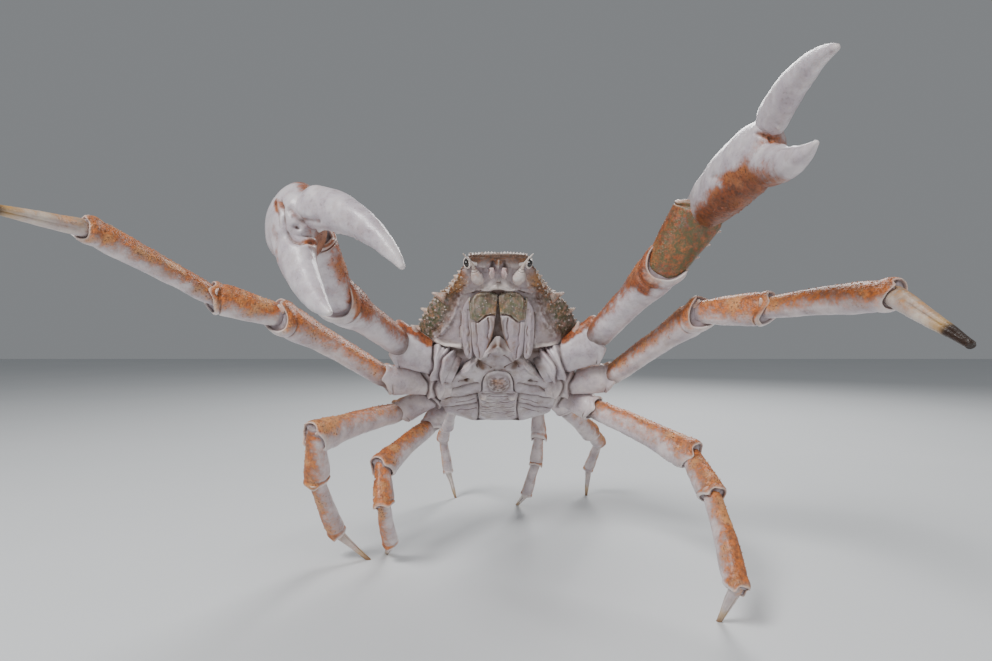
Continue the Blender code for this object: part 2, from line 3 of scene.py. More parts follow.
import bpy
import numpy as np
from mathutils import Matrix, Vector


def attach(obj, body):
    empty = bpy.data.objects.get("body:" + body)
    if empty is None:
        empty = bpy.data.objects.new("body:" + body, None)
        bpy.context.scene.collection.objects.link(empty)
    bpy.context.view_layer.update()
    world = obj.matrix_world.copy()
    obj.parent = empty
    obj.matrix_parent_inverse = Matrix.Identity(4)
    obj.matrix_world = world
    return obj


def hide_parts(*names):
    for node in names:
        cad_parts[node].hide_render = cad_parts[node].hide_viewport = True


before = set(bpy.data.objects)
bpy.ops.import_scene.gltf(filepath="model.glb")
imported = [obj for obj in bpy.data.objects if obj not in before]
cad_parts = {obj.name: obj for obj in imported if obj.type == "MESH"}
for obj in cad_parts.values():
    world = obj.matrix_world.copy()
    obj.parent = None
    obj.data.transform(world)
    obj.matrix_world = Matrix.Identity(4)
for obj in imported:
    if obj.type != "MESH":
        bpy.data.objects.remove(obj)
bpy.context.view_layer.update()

# The view: a camera low in front of the raised body, close enough that the claws reach past it.
# A pale floor carries the walking tips, and three large soft lights stand round the crab.
MM = 0.001
BODY_PLACE = np.array((0.0312, 0.0143, 0.183))
CAMERA_LEFT, CAMERA_AWAY, CAMERA_HEIGHT = 0.0018, 0.55, 0.215
SENSOR_WIDTH, FOCAL_PIXELS, FRAME_PIXELS = 36.0, 600.0, 992.0
LIGHT_AIM = Vector((0.0, 0.0, 0.15))
LIGHTS = (("key", (-0.8, -1.0, 1.5), 34.0, 0.55), ("fill", (1.4, -0.9, 0.5), 5.0, 1.0),
          ("back", (0.6, 1.3, 1.3), 20.0, 0.8))
SKY_COLOUR, SKY_STRENGTH = (0.86, 0.90, 0.94, 1.0), 0.26
FLOOR_REACH = 4
camera = bpy.data.objects.new("camera", bpy.data.cameras.new("camera"))
camera.location = (BODY_PLACE[0] - CAMERA_LEFT, BODY_PLACE[1] - CAMERA_AWAY, CAMERA_HEIGHT)
camera.rotation_euler = (math.radians(90.0), 0.0, 0.0)
camera.data.sensor_width = SENSOR_WIDTH
camera.data.lens = FOCAL_PIXELS / FRAME_PIXELS * SENSOR_WIDTH
camera.data.clip_start = 0.01
bpy.context.collection.objects.link(camera)
bpy.context.scene.camera = camera

for name, place, power, size in LIGHTS:
    light = bpy.data.objects.new(name, bpy.data.lights.new(name, "AREA"))
    light.data.energy = power
    light.data.size = size
    light.location = place
    light.rotation_euler = (LIGHT_AIM - Vector(place)).to_track_quat("-Z", "Y").to_euler()
    bpy.context.collection.objects.link(light)
sky = bpy.data.worlds.new("studio")
sky.use_nodes = True
sky.node_tree.nodes["Background"].inputs["Color"].default_value = SKY_COLOUR
sky.node_tree.nodes["Background"].inputs["Strength"].default_value = SKY_STRENGTH
bpy.context.scene.world = sky


def node(tree, kind, inputs=(), **settings):
    """A node of a tree, with its settings, and values or links for its inputs."""
    made = tree.nodes.new(kind)
    for key, value in settings.items():
        setattr(made, key, value)
    for key, value in dict(inputs).items():
        if isinstance(value, bpy.types.NodeSocket):
            tree.links.new(value, made.inputs[key])
        else:
            made.inputs[key].default_value = value
    return made


def noise(tree, place, scale, detail=2.0, roughness=0.5):
    settings = {"Vector": place, "Scale": scale, "Detail": detail, "Roughness": roughness}
    return node(tree, "ShaderNodeTexNoise", settings).outputs[0]


def cells(tree, place, scale):
    return node(tree, "ShaderNodeTexVoronoi", {"Vector": place, "Scale": scale}).outputs["Distance"]


def blend_colours(tree, share, first, second):
    """The first colour turning into the second as the share rises to one."""
    return node(tree, "ShaderNodeMix", {0: share, 6: first, 7: second}, data_type="RGBA").outputs[2]


def new_finish(name, roughness=0.45, coat=0.0):
    """A material with its shader and the place of each point at hand."""
    material = bpy.data.materials.new(name)
    material.use_nodes = True
    tree = material.node_tree
    shader = tree.nodes["Principled BSDF"]
    shader.inputs["Roughness"].default_value = roughness
    shader.inputs["Coat Weight"].default_value = coat
    shader.inputs["Coat Roughness"].default_value = 0.2
    return material, tree, shader, node(tree, "ShaderNodeTexCoord").outputs["Object"]


def new_object(name, mesh):
    made = bpy.data.objects.new(name, mesh)
    bpy.context.collection.objects.link(made)
    return made


floor_finish, tree, shader, place = new_finish("pale_floor", 0.7)
tree.links.new(blend_colours(tree, noise(tree, place, 3.0), (0.66, 0.68, 0.69, 1), (0.72, 0.73, 0.74, 1)),
               shader.inputs["Base Color"])
floor_mesh = bpy.data.meshes.new("floor")
floor_mesh.from_pydata([(x * FLOOR_REACH, y * FLOOR_REACH, 0) for x, y in ((-1, -1), (1, -1), (1, 1), (-1, 1))], [],
                       [(0, 1, 2, 3)])
floor_mesh.materials.append(floor_finish)
new_object("floor", floor_mesh)

# The back shell: a pear-shaped limy shell, grown in one, with swollen regions parted by shallow furrows.
# Its side edge carries spines and its back blunt points, and its front is a broad plate fringed with beads.
PITCH = math.radians(45.0)
AXES = np.array(((1, 0, 0), (0, -math.cos(PITCH), math.sin(PITCH)), (0, math.sin(PITCH), math.cos(PITCH))))
SIDES = (("left", 1.0), ("right", -1.0))
# Stations from tail to head: half width, height of the crown, of the edge and of the belly, half width of the belly.
SHELL = (
    (-84, 26, 50, 40, 24, 14), (-77, 46, 58, 40, 20, 30), (-64, 62, 68, 40, 15, 44), (-46, 77, 76, 40, 13, 50),
    (-26, 83, 80, 40, 12, 48), (-8, 81, 81, 39, 11, 42), (8, 76, 80, 39, 12, 36), (22, 69, 77, 38, 15, 34),
    (34, 62, 72, 38, 23, 34), (46, 55, 66, 38, 31, 33), (56, 46, 60, 38, 37, 30), (66, 40, 55, 39, 37, 27),
    (76, 35, 50.5, 40, 37, 24), (84, 31, 47.5, 41, 38.5, 22), (90, 26.5, 45.5, 42, 40, 21),
    (95, 24.5, 44, 42, 40.5, 20),
)
# Spines on the side edge: station, reach and radius. Points on the back: station, and angle up from the edge.
EDGE_SPINES = (
    (77, 2.2, 1.6), (72, 3.4, 2.2), (68, 2.4, 1.6), (64, 4.0, 2.4), (57, 3.4, 2.0), (50, 10.0, 4.0), (45, 4.5, 2.2),
    (41, 4.8, 2.4), (36, 4.0, 2.2), (31, 9.5, 4.0), (25, 4.5, 2.4), (19, 5.0, 2.6), (8, 9.0, 3.8), (0, 4.0, 2.4),
    (-7, 4.6, 2.8), (-22, 7.0, 3.4), (-31, 3.6, 2.4), (-39, 5.4, 2.8), (-47, 3.4, 2.4), (-55, 4.4, 2.6),
    (-69, 3.5, 2.4),
)
BACK_POINTS = ((64, 64), (58, 30), (46, 60), (40, 32), (30, 90), (26, 60), (18, 34), (8, 58), (4, 90), (-4, 30),
               (-16, 62), (-22, 90), (-30, 38), (-42, 64), (-50, 90), (-56, 36), (-66, 62))
BACK_POINT_REACH, BACK_POINT_RADIUS = 3.6, 2.8
FRONT_BEADS, BEAD_REACH, LARGE_BEAD, SMALL_BEAD = 19, 1.3, 1.35, 1.0
FRONT_HALF_WIDTH, FRONT_EDGE, FRONT_LEVEL = 24.4, 95.6, 43.6
# Furrows and swellings on the back, and ridges and folds on the flank beside the mouth: path, width and height.
BACK_FURROWS = (
    (((7, 44, 74), (22, 34, 73), (34, 24, 71), (52, 20, 62)), 5.0, -2.6),
    (((20, 12, 79), (24, -10, 80), (20, -34, 79), (14, -52, 75)), 4.6, -2.8),
    (((0, 10, 81), (10, 12, 80), (20, 12, 79)), 4.6, -2.2), (((0, -44, 79), (14, -46, 77)), 4.4, -2.0),
    (((26, -10, 79), (44, -8, 74), (64, -12, 60)), 5.0, -1.8), (((8, -64, 70), (40, -60, 66)), 4.0, -1.4),
    (((10, 70, 57), (24, 62, 58)), 4.0, -1.6),
)
BACK_SWELLINGS = (
    ((60, 38, 38), 11, 3.2), ((67, 22, 38), 9, 1.6), ((48, 4, 72), 14, 2.0), ((46, -34, 72), 22, 3.0),
    ((12, 28, 76), 13, 2.0), ((0, -20, 81), 13, 2.6), ((0, 60, 62), 10, 1.4), ((34, 54, 52), 9, 1.8),
    ((0, -66, 70), 16, 1.0),
)
LOWER_RIDGE = ((34, 12, 13), (46, 11, 15), (58, 11, 20))
FLANK_FOLDS = (
    (((33, 54, 34), (42, 34, 24), (56, 14, 19)), 1.7, 2.2), (((36, 54, 37), (48, 32, 28), (62, 16, 25)), 1.8, -1.6),
    (LOWER_RIDGE, 1.8, 2.4), (((34, 7, 12), (46, 6, 14), (60, 5, 20)), 2.6, -3.0),
    (((33, 40, 27), (34, 22, 16)), 1.8, -1.2), (((30, 64, 37), (40, 56, 37)), 1.4, -1.0),
    (((38, 44, 31), (50, 26, 26), (58, 22, 28)), 1.0, 0.7),
)
# Under the front plate: the hollow for the small feelers, the two notches with the wall between them, the pale
# lip above the mouth, and the sockets of the eyes.
FRONT_FORMS = (
    (((0, 78, 38), (12, 78, 38)), 7.0, -3.2), (((5.4, 77, 37), (5.0, 88, 40)), 1.6, -5.0),
    (((0, 72, 37), (0, 90, 41)), 1.6, 3.0), (((0, 65, 37), (11, 63, 37)), 3.4, 3.4),
    (((0, 60.3, 36), (14, 59.6, 36), (23, 57, 36)), 1.1, -2.4), (((27, 86, 40), (30, 84, 41)), 4.0, -3.0),
    (((9, 90, 41), (16, 90, 41)), 3.0, -1.0), (((0, 94, 41), (24, 94, 41)), 1.6, 1.2),
    (((24, 72, 38), (27, 66, 38)), 2.6, 1.6), (((0, 73, 38), (8, 67, 37), (17, 61, 37)), 1.8, 1.6),
    (((22, 60, 37), (30, 57, 36)), 1.6, 1.2), (((12, 84, 39), (20, 84, 40)), 1.4, 1.6),
)
RIDGE_BEADS = ((33, 62, 37), (42, 40, 27), (57, 16, 20))
CHEEK = ((34, 74, 41), (40, 62, 40))
HOLLOW_FLANK = ((36, 50, 34), (44, 30, 24), (54, 18, 20))
UPPER_FLANK_LINE = ((36, 56, 37), (49, 32, 29), (62, 17, 26))
LOWER_FLANK_LINE = ((34, 5, 12), (48, 4, 14), (64, 2, 22))
PALE_LIP = ((0, 66, 37), (11, 63, 37))


def on_body(places):
    """Places in mm across, towards the head and towards the back, as places in the room."""
    return BODY_PLACE + np.asarray(places, float) @ AXES * MM


def unit(ways):
    """Directions of length one."""
    ways = np.asarray(ways, float)
    return ways / np.linalg.norm(ways, axis=-1, keepdims=True)


def square_to(axis, upper):
    """The two directions square to an axis: across it, and up from it."""
    side = unit(np.cross(axis, upper))
    return side, np.cross(side, axis)


def turns(sides):
    """The angles of a full turn."""
    return np.linspace(0, 2 * np.pi, sides, endpoint=False)


def through(stations, values, wanted):
    """Values on a smooth curve through a table, with no overshoot."""
    stations, values, wanted = (np.asarray(given, float) for given in (stations, values, wanted))
    flat = values.ndim == 1
    if flat:
        values = values[:, None]
    step = np.diff(stations)
    slope = np.diff(values, axis=0) / step[:, None]
    both = slope[:-1] * slope[1:]
    total = np.where(np.abs(slope[:-1] + slope[1:]) > 1e-12, slope[:-1] + slope[1:], 1.0)
    tangent = np.vstack((slope[:1], np.where(both > 0, 2.0 * both / total, 0.0), slope[-1:]))
    k = np.clip(np.searchsorted(stations, wanted) - 1, 0, len(stations) - 2)
    t = ((wanted - stations[k]) / step[k])[:, None]
    width = step[k][:, None]
    result = (values[k] * (1 + 2 * t) * (1 - t) ** 2 + values[k + 1] * t * t * (3 - 2 * t)
              + tangent[k] * width * t * (1 - t) ** 2 + tangent[k + 1] * width * t * t * (t - 1))
    return result[:, 0] if flat else result


def from_table(table, wanted):
    """The sizes in the rows of a table, at any stations between its rows."""
    return through([row[0] for row in table], [row[1:] for row in table], wanted)


def swell(places, size, seed=1):
    """Smooth random swellings of about a size, from -1 to 1."""
    lattice = np.random.default_rng(seed).uniform(-1, 1, (20, 20, 20))
    place = np.asarray(places) / size + 50.0
    cell = np.floor(place).astype(int)
    t = place - cell
    t = t * t * (3 - 2 * t)
    total = 0.0
    for corner in np.ndindex(2, 2, 2):
        spot = (cell + corner) % 20
        total = total + lattice[spot[..., 0], spot[..., 1], spot[..., 2]] * np.where(corner, t, 1 - t).prod(axis=-1)
    return total


def wavy(places, amount, size, seed):
    """Places shaken a little, so that what is drawn along straight paths comes out wavering."""
    places = np.asarray(places, float)
    deep = np.concatenate((places, places[..., :1] * 0), axis=-1) if places.shape[-1] == 2 else places
    return places + amount * np.stack([swell(deep, size, seed + k) for k in range(places.shape[-1])], axis=-1)


def hump(value, place, width):
    """A rounded rise from 0 to 1 and back, at a place."""
    return np.exp(-((value - place) / width) ** 2)


def soft_step(low, high, value):
    t = np.clip((value - low) / (high - low), 0.0, 1.0)
    return t * t * (3 - 2 * t)


def raised(places, path, width, height=1.0):
    """The lift of a rounded ridge along a path, or of a furrow where the height is below zero."""
    places, path = np.asarray(places, float), np.asarray(path, float)
    if path.ndim == 1:
        path = np.vstack((path, path + 1e-6))
    near = np.full(places.shape[:-1], 1e9)
    for start, end in zip(path, path[1:]):
        span = end - start
        share = np.clip((places - start) @ span / (span @ span), 0.0, 1.0)
        near = np.minimum(near, np.linalg.norm(places - start - share[..., None] * span, axis=-1))
    return height * hump(near, 0.0, width)


def relief(places, forms):
    """The lift of many ridges, swellings and furrows together."""
    return sum(raised(places, path, width, height) for path, width, height in forms)


def one_side(places):
    """Turns the right side's places onto the left side, so that one set of forms serves both."""
    return np.where(places[..., :1] < 0, (-1,) + (1,) * (places.shape[-1] - 1), 1)


def grid_normals(rings):
    """Directions out of a closed skin of rings, at each of its points."""
    around = np.roll(rings, -1, axis=1) - np.roll(rings, 1, axis=1)
    along = np.gradient(rings, axis=0)
    normals = np.cross(around, along)
    normals /= np.maximum(np.linalg.norm(normals, axis=-1, keepdims=True), 1e-12)
    outward = ((rings - rings.mean(axis=1, keepdims=True)) * normals).sum() < 0
    return -normals if outward else normals


def shell_of(rings, marks=None):
    """Points, faces and masks of a closed skin through rings of points."""
    rings = np.asarray(rings)
    count, sides = rings.shape[:2]
    points = np.vstack((rings.reshape(-1, 3), rings[0].mean(axis=0), rings[-1].mean(axis=0)))
    here = np.arange(count * sides).reshape(count, sides)
    beside = np.roll(here, -1, axis=1)
    faces = np.stack((here[:-1], beside[:-1], beside[1:], here[1:]), axis=-1).reshape(-1, 4)
    a, b, c = (points[faces[:, k]] - points.mean(axis=0) for k in range(3))
    inside_out = np.einsum("ij,ij->", a, np.cross(b, c)) < 0
    faces = faces.tolist()
    foot, tip = count * sides, count * sides + 1
    for k in range(sides):
        faces.append((foot, beside[0, k], here[0, k]))
        faces.append((tip, here[-1, k], beside[-1, k]))
    if inside_out:
        faces = [face[::-1] for face in faces]
    full = {}
    for key, value in (marks or {}).items():
        value = np.broadcast_to(value, (count, sides))
        full[key] = np.concatenate((value.ravel(), [value[0].mean(), value[-1].mean()]))
    return points, faces, full


def vectors_of(items, field):
    """One vector for each point of a mesh, as rows."""
    values = np.zeros(len(items) * 3)
    items.foreach_get(field, values)
    return values.reshape(-1, 3)


def store_mark(mesh, key, values):
    if key in mesh.attributes:
        mesh.attributes.remove(mesh.attributes[key])
    mesh.attributes.new(key, "FLOAT", "POINT").data.foreach_set("value", values.astype(np.float32))


def note_hollows(mesh, rounds=3):
    """Stores how hollow the skin is at each point: above zero in a groove, below zero on a ridge."""
    count = len(mesh.vertices)
    places, facing = vectors_of(mesh.vertices, "co"), vectors_of(mesh.vertex_normals, "vector")
    ends = np.zeros(len(mesh.edges) * 2, dtype=np.int32)
    mesh.edges.foreach_get("vertices", ends)
    first, second = ends.reshape(-1, 2).T
    span = places[second] - places[first]
    length = np.maximum((span * span).sum(axis=1), 1e-10)
    number = np.maximum(np.bincount(first, minlength=count) + np.bincount(second, minlength=count), 1)
    bend = (np.bincount(first, (facing[first] * span).sum(axis=1) / length, count)
            + np.bincount(second, -(facing[second] * span).sum(axis=1) / length, count)) / number * 2.0 * MM
    for _ in range(rounds):
        beside = np.bincount(first, bend[second], count) + np.bincount(second, bend[first], count)
        bend = 0.4 * bend + 0.6 * beside / number
    store_mark(mesh, "hollow", bend)


# The stain mask carries brown stains and also painted shade, in joints, in folds and under rims.
MARKS = ("upper", "along", "rim", "cup", "rust", "beads", "moss", "stain_and_shade")


def make_piece(name, shells, finish):
    """One smooth object from its skins."""
    points, faces, start = [], [], 0
    for shell_points, shell_faces, _ in shells:
        points.append(shell_points)
        faces += [tuple(index + start for index in face) for face in shell_faces]
        start += len(shell_points)
    mesh = bpy.data.meshes.new(name)
    mesh.from_pydata(np.vstack(points).tolist(), [], faces)
    mesh.polygons.foreach_set("use_smooth", [True] * len(faces))
    for key in MARKS:
        store_mark(mesh, key, np.concatenate([marks.get(key, np.zeros(len(places))) for places, _, marks in shells]))
    mesh.materials.append(finish)
    note_hollows(mesh)
    return new_object(name, mesh)


def settle(piece, slot, *nodes):
    """The frame calls of a finished piece."""
    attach(piece, "root")
    if nodes:
        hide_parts(*nodes)


# Rings of a spine from its sunk root to its tip: share of its length, and share of its radius.
THORN_FORM = ((-0.35, 1.35), (0.0, 1.1), (0.2, 0.82), (0.45, 0.58), (0.7, 0.40), (0.88, 0.27), (0.98, 0.12))


def thorn(base, direction, length, radius, marks, sides=12):
    """A blunt tapered spine, rooted a little below the skin that it grows from."""
    direction = unit(direction)
    side, other = square_to(direction, (0.0, 0.0, 1.0) if abs(direction[2]) < 0.9 else (1.0, 0.0, 0.0))
    turn = turns(sides)
    circle = np.cos(turn)[:, None] * side - np.sin(turn)[:, None] * other
    return shell_of([base + direction * length * height + circle * radius * size for height, size in THORN_FORM],
                    marks)


def shell_skin():
    """The back shell's plain form: rings from tail to head, each up the left side and down the right."""
    v = np.concatenate((np.linspace(-86.5, -70, 24), np.linspace(-69, -1, 72), np.linspace(-0.4, 88, 148),
                        np.linspace(88.5, 95.6, 22)))
    close = np.sqrt(np.clip(1 - (np.clip(-v - 78, 0, 8.6) / 8.7) ** 2, 0.02, 1))[:, None]
    half_width, crown, edge, belly, belly_half = from_table(SHELL, np.clip(v, -84, 95)).T[..., None]
    q = np.concatenate((np.linspace(0, 0.5, 100), np.linspace(0.508, 1, 68)))
    low = np.clip(q / 0.5, 0, 1)
    out = through((0, 0.24, 0.48, 0.66, 0.84, 1.0), (0, 0.55, 1.0, 1.0, 1.0, 1.0), low)
    slide = through((0, 0.48, 0.66, 0.84, 1.0), (0, 0, 0.35, 0.72, 1.0), low)
    rise = through((0, 0.48, 0.66, 0.84, 1.0), (0, 0, 0.16, 0.52, 1.0), low)
    turn = np.clip((q - 0.5) / 0.5, 0, 1) * np.pi / 2
    across = np.where(q < 0.5, belly_half * out + (half_width - belly_half) * slide,
                      half_width * np.cos(turn) ** 0.85) * close
    back = np.where(q < 0.5, belly + (edge - belly) * rise, edge + (crown - edge) * np.sin(turn) ** 0.9)
    half = np.stack((across, np.broadcast_to(v[:, None], across.shape), 40 + (back - 40) * close), axis=-1)
    return np.concatenate((half, half[:, -2:0:-1] * (-1, 1, 1)), axis=1)


skin = shell_skin()
lift = 0.5 * swell(skin, 13.0, 3) + 0.28 * swell(skin, 5.0, 4) + 0.14 * swell(skin, 2.2, 5)
folded = wavy(skin, 1.3, 7.0, 71) * one_side(skin)
lift = lift + relief(folded, BACK_FURROWS + FLANK_FOLDS + BACK_SWELLINGS + FRONT_FORMS)
lift = lift * soft_step(95.7, 93, skin[..., 1])
normals = grid_normals(skin)
skin = skin + normals * lift[..., None]
across, ahead = np.abs(skin[..., 0]), skin[..., 1]
top = soft_step(-0.15, 0.45, normals[..., 2])
beyond = soft_step(-2.0, 5.0, folded[..., 0] - np.interp(folded[..., 1], (16, 40, 62), (57, 43, 33))) * (1 - 0.5 * top)
crest = raised(folded, RIDGE_BEADS, 2.6)
cheek = raised(folded, CHEEK, 11.0)
inner = soft_step(26, 18, folded[..., 0]) * soft_step(50, 62, folded[..., 1]) * (1 - top)
face = 0.75 * soft_step(83, 90, ahead) * (1 - top) * soft_step(27, 22, across)
dusty = soft_step(-0.5, 0.4, swell(skin, 3.2, 18) + 0.6 * swell(skin, 1.6, 19))
hollow_flank = raised(folded, HOLLOW_FLANK, 6.5) + raised(folded, UPPER_FLANK_LINE, 3.0, 0.9)
beside_mouth = (soft_step(1.5, 0.0, across - np.interp(ahead, (0, 12, 25, 60), (16, 13, 8, 5)))
                * soft_step(62, 58, ahead))
shell_marks = {
    "upper": top,
    "rim": raised(folded, LOWER_RIDGE, 2.2) + raised(folded, PALE_LIP, 5.0, 0.8),
    "moss": np.clip(beyond * 0.9 + 0.35 * top + 0.3 * crest - cheek, 0, 1),
    "beads": np.clip(0.55 * top + 0.7 * crest + 0.35 * beyond + 0.5 * cheek, 0, 1),
    "rust": np.clip(0.55 * top + 0.55 * beyond + 0.8 * cheek + 0.25 * crest - 0.3 * inner, 0, 1)
            + 0.8 * soft_step(91.5, 94, ahead) + face,
    # Painted shadow: the band along LOWER_FLANK_LINE darkens the groove under the pale lower ridge.
    "stain_and_shade": beside_mouth * (1 - top) + 0.6 * soft_step(92, 94, ahead) + 0.5 * face + 0.75 * dusty * hollow_flank
             + raised(folded, LOWER_FLANK_LINE, 4.5),
}
carapace = [shell_of(on_body(skin), shell_marks)]

spines = []
SPINE_MARKS = {"upper": 0.8, "rust": 0.9, "rim": 0.35}
for _, sign in SIDES:
    for station, reach, radius in EDGE_SPINES:
        size, _, level = from_table(SHELL, [station])[0][:3]
        base = on_body((sign * (size - 0.8), station, level + 0.6))
        spines.append(thorn(base, np.array((sign, 0.25, 0.3)) @ AXES, reach * MM, radius * MM, SPINE_MARKS, 16))
for station, angle in BACK_POINTS:
    size, top_level, level = from_table(SHELL, [station])[0][:3]
    angle = math.radians(angle)
    across = size * max(math.cos(angle), 0.0) ** 0.85
    height = level + (top_level - level) * math.sin(angle) ** 0.9
    for sign in (1.0,) if angle > 1.5 else (1.0, -1.0):
        facing = np.array((sign * math.cos(angle), 0.15, math.sin(angle))) @ AXES
        spines.append(thorn(on_body((sign * across, station, height)), facing, BACK_POINT_REACH * MM,
                            BACK_POINT_RADIUS * MM, SPINE_MARKS, 16))
for k in range(FRONT_BEADS):
    spread = 2.0 * k / (FRONT_BEADS - 1) - 1.0
    notch = math.exp(-(spread / 0.12) ** 2)
    base = on_body((FRONT_HALF_WIDTH * spread, FRONT_EDGE - notch - 0.8 * spread ** 4, FRONT_LEVEL - 1.6 * spread ** 2))
    facing = AXES[1] + AXES[2] * 0.6 + AXES[0] * spread * 0.3
    spines.append(thorn(base, facing, BEAD_REACH * MM, (LARGE_BEAD if k % 2 else SMALL_BEAD) * MM,
                        {"upper": -0.2, "rust": 0.1, "rim": 0.6}, 14))


def maths(tree, operation, first, second, clamp=False):
    return node(tree, "ShaderNodeMath", {0: first, 1: second}, operation=operation, use_clamp=clamp).outputs[0]


def times(tree, first, second, clamp=False):
    return maths(tree, "MULTIPLY", first, second, clamp)


def plus(tree, *terms):
    """The sum of two or more numbers or masks."""
    total = terms[0]
    for term in terms[1:]:
        total = maths(tree, "ADD", total, term)
    return total


def ramp(tree, value, low, high, start=0.0, end=1.0, smooth=False):
    """A value spread from one range onto another, and held at both ends."""
    kind = "SMOOTHSTEP" if smooth else "LINEAR"
    inputs = {"Value": value, 1: low, 2: high, 3: start, 4: end}
    return node(tree, "ShaderNodeMapRange", inputs, interpolation_type=kind).outputs[0]


GREY_PATCH, DARK_SPECK = (0.42, 0.35, 0.40, 1), (0.075, 0.028, 0.014, 1)


def markings_group():
    """The limy shell's own colouring: rust over porcelain white, dark specks, and a grained relief."""
    group = bpy.data.node_groups.new("shell_markings", "ShaderNodeTree")
    sockets = {"INPUT": (("Cover", "Float"), ("White", "Color"), ("Rust", "Color"), ("Pale Rust", "Color"),
                         ("Brown", "Color"), ("Specks", "Float")),
               "OUTPUT": (("Colour", "Color"), ("Height", "Float"), ("Rough", "Float"))}
    for way, rows in sockets.items():
        for name, kind in rows:
            group.interface.new_socket(name=name, in_out=way, socket_type="NodeSocket" + kind)
    given = node(group, "NodeGroupInput").outputs
    place = node(group, "ShaderNodeTexCoord").outputs["Object"]
    patch, mottle = noise(group, place, 62.0, 5.0, 0.6), noise(group, place, 310.0, 5.0, 0.65)
    fine, blot = noise(group, place, 1500.0, 3.0), noise(group, place, 560.0, 3.0, 0.6)
    grains, pits = cells(group, place, 620.0), cells(group, place, 1100.0)
    edge = plus(group, times(group, patch, 1.5), times(group, mottle, 0.9))
    cover = plus(group, times(group, given["Cover"], 1.7), maths(group, "SUBTRACT", edge, 1.95))
    mask = ramp(group, cover, -0.25, 0.65, smooth=True)
    white = blend_colours(group, ramp(group, patch, 0.38, 0.62, 0.0, 0.7), given["White"], GREY_PATCH)
    rust = blend_colours(group, ramp(group, mottle, 0.40, 0.62), given["Brown"], given["Rust"])
    rust = blend_colours(group, ramp(group, patch, 0.46, 0.64, 0.0, 0.75, smooth=True), rust, given["Pale Rust"])
    colour = blend_colours(group, mask, white, rust)
    dots = times(group, ramp(group, blot, 0.57, 0.64), ramp(group, patch, 0.44, 0.60))
    dots = times(group, times(group, dots, given["Specks"]), plus(group, times(group, mask, 0.7), 0.3))
    colour = blend_colours(group, dots, colour, DARK_SPECK)
    grit = times(group, maths(group, "SUBTRACT", 0.6, grains), plus(group, times(group, mask, 0.8), 0.12))
    grain = plus(group, times(group, mottle, 0.35), times(group, fine, 0.22))
    height = plus(group, grit, grain, times(group, pits, 0.12))
    rough = plus(group, times(group, mask, 0.16), plus(group, times(group, fine, 0.2), 0.24))
    node(group, "NodeGroupOutput", {"Colour": colour, "Height": height, "Rough": rough})
    return group


MARKINGS = markings_group()
PALE_RIM, WORN_WHITE, SOFT_SKIN = (0.80, 0.70, 0.64, 1), (0.82, 0.74, 0.68, 1), (0.33, 0.27, 0.29, 1)
BROWN_FILM, SHADE_AND_GRIME, TIP_AMBER = (0.30, 0.20, 0.145, 1), (0.10, 0.048, 0.028, 1), (0.46, 0.26, 0.05, 1)


def mark(tree, name):
    return node(tree, "ShaderNodeAttribute", attribute_name=name).outputs["Fac"]


def shell_finish(name, white, rust, brown, specks, cover, depth=0.0005, glow=(0.68, 0.33, 0.13, 1),
                 moss=(0.10, 0.13, 0.05, 1), tip=None, film=0.3):
    """Limy shell whose rust cover follows the masks of its skin, with pale rims and soft skin in its cups, and painted
    shade with grime in its hollows and stained places.
    """
    material, tree, shader, place = new_finish(name, coat=0.12)
    shader.inputs["Subsurface Weight"].default_value = 0.06
    shader.inputs["Subsurface Radius"].default_value = (0.004, 0.002, 0.0015)
    base, by_upper, by_rust = cover
    total = plus(tree, times(tree, mark(tree, "upper"), by_upper), times(tree, mark(tree, "rust"), by_rust), base)
    group = node(tree, "ShaderNodeGroup", node_tree=MARKINGS)
    tree.links.new(total, group.inputs["Cover"])
    for key, value in (("White", white), ("Rust", rust), ("Pale Rust", glow), ("Brown", brown), ("Specks", specks)):
        group.inputs[key].default_value = value
    broken = noise(tree, place, 140.0, 4.0)
    growth = times(tree, mark(tree, "moss"), ramp(tree, noise(tree, place, 270.0, 5.0, 0.7), 0.38, 0.58))
    colour = blend_colours(tree, growth, group.outputs["Colour"], moss)
    rim = times(tree, mark(tree, "rim"), ramp(tree, broken, 0.35, 0.55, 0.35), clamp=True)
    colour = blend_colours(tree, rim, colour, PALE_RIM)
    colour = blend_colours(tree, mark(tree, "cup"), colour, SOFT_SKIN)
    stained = ramp(tree, noise(tree, place, 95.0, 7.0, 0.72), 0.46, 0.66, 0.0, film, smooth=True)
    colour = blend_colours(tree, stained, colour, BROWN_FILM)
    hollow = mark(tree, "hollow")
    colour = blend_colours(tree, ramp(tree, hollow, -0.10, -0.45, 0.0, 0.45), colour, WORN_WHITE)
    # Painted shade: grooves and hollows, and the places of the stain mask, are darkened towards dark brown. This stands
    # in for the shade that gathers there, together with some real grime.
    deep = times(tree, ramp(tree, hollow, 0.03, 0.30, 0.0, 0.9), plus(tree, times(tree, broken, 1.4), 0.15), clamp=True)
    deep = maths(tree, "MAXIMUM", deep, times(tree, mark(tree, "stain_and_shade"), plus(tree, broken, 0.35)), clamp=True)
    colour = blend_colours(tree, deep, colour, SHADE_AND_GRIME)
    if tip:
        start, end, dark = tip
        along = mark(tree, "along")
        colour = blend_colours(tree, ramp(tree, along, start - 0.14, start, 0.0, 0.6), colour, TIP_AMBER)
        colour = blend_colours(tree, ramp(tree, along, start, end, smooth=True), colour, dark)
    tree.links.new(colour, shader.inputs["Base Color"])
    tree.links.new(group.outputs["Rough"], shader.inputs["Roughness"])
    bump = node(tree, "ShaderNodeBump", {"Height": group.outputs["Height"], "Strength": 0.8, "Distance": depth})
    tree.links.new(bump.outputs["Normal"], shader.inputs["Normal"])
    return material


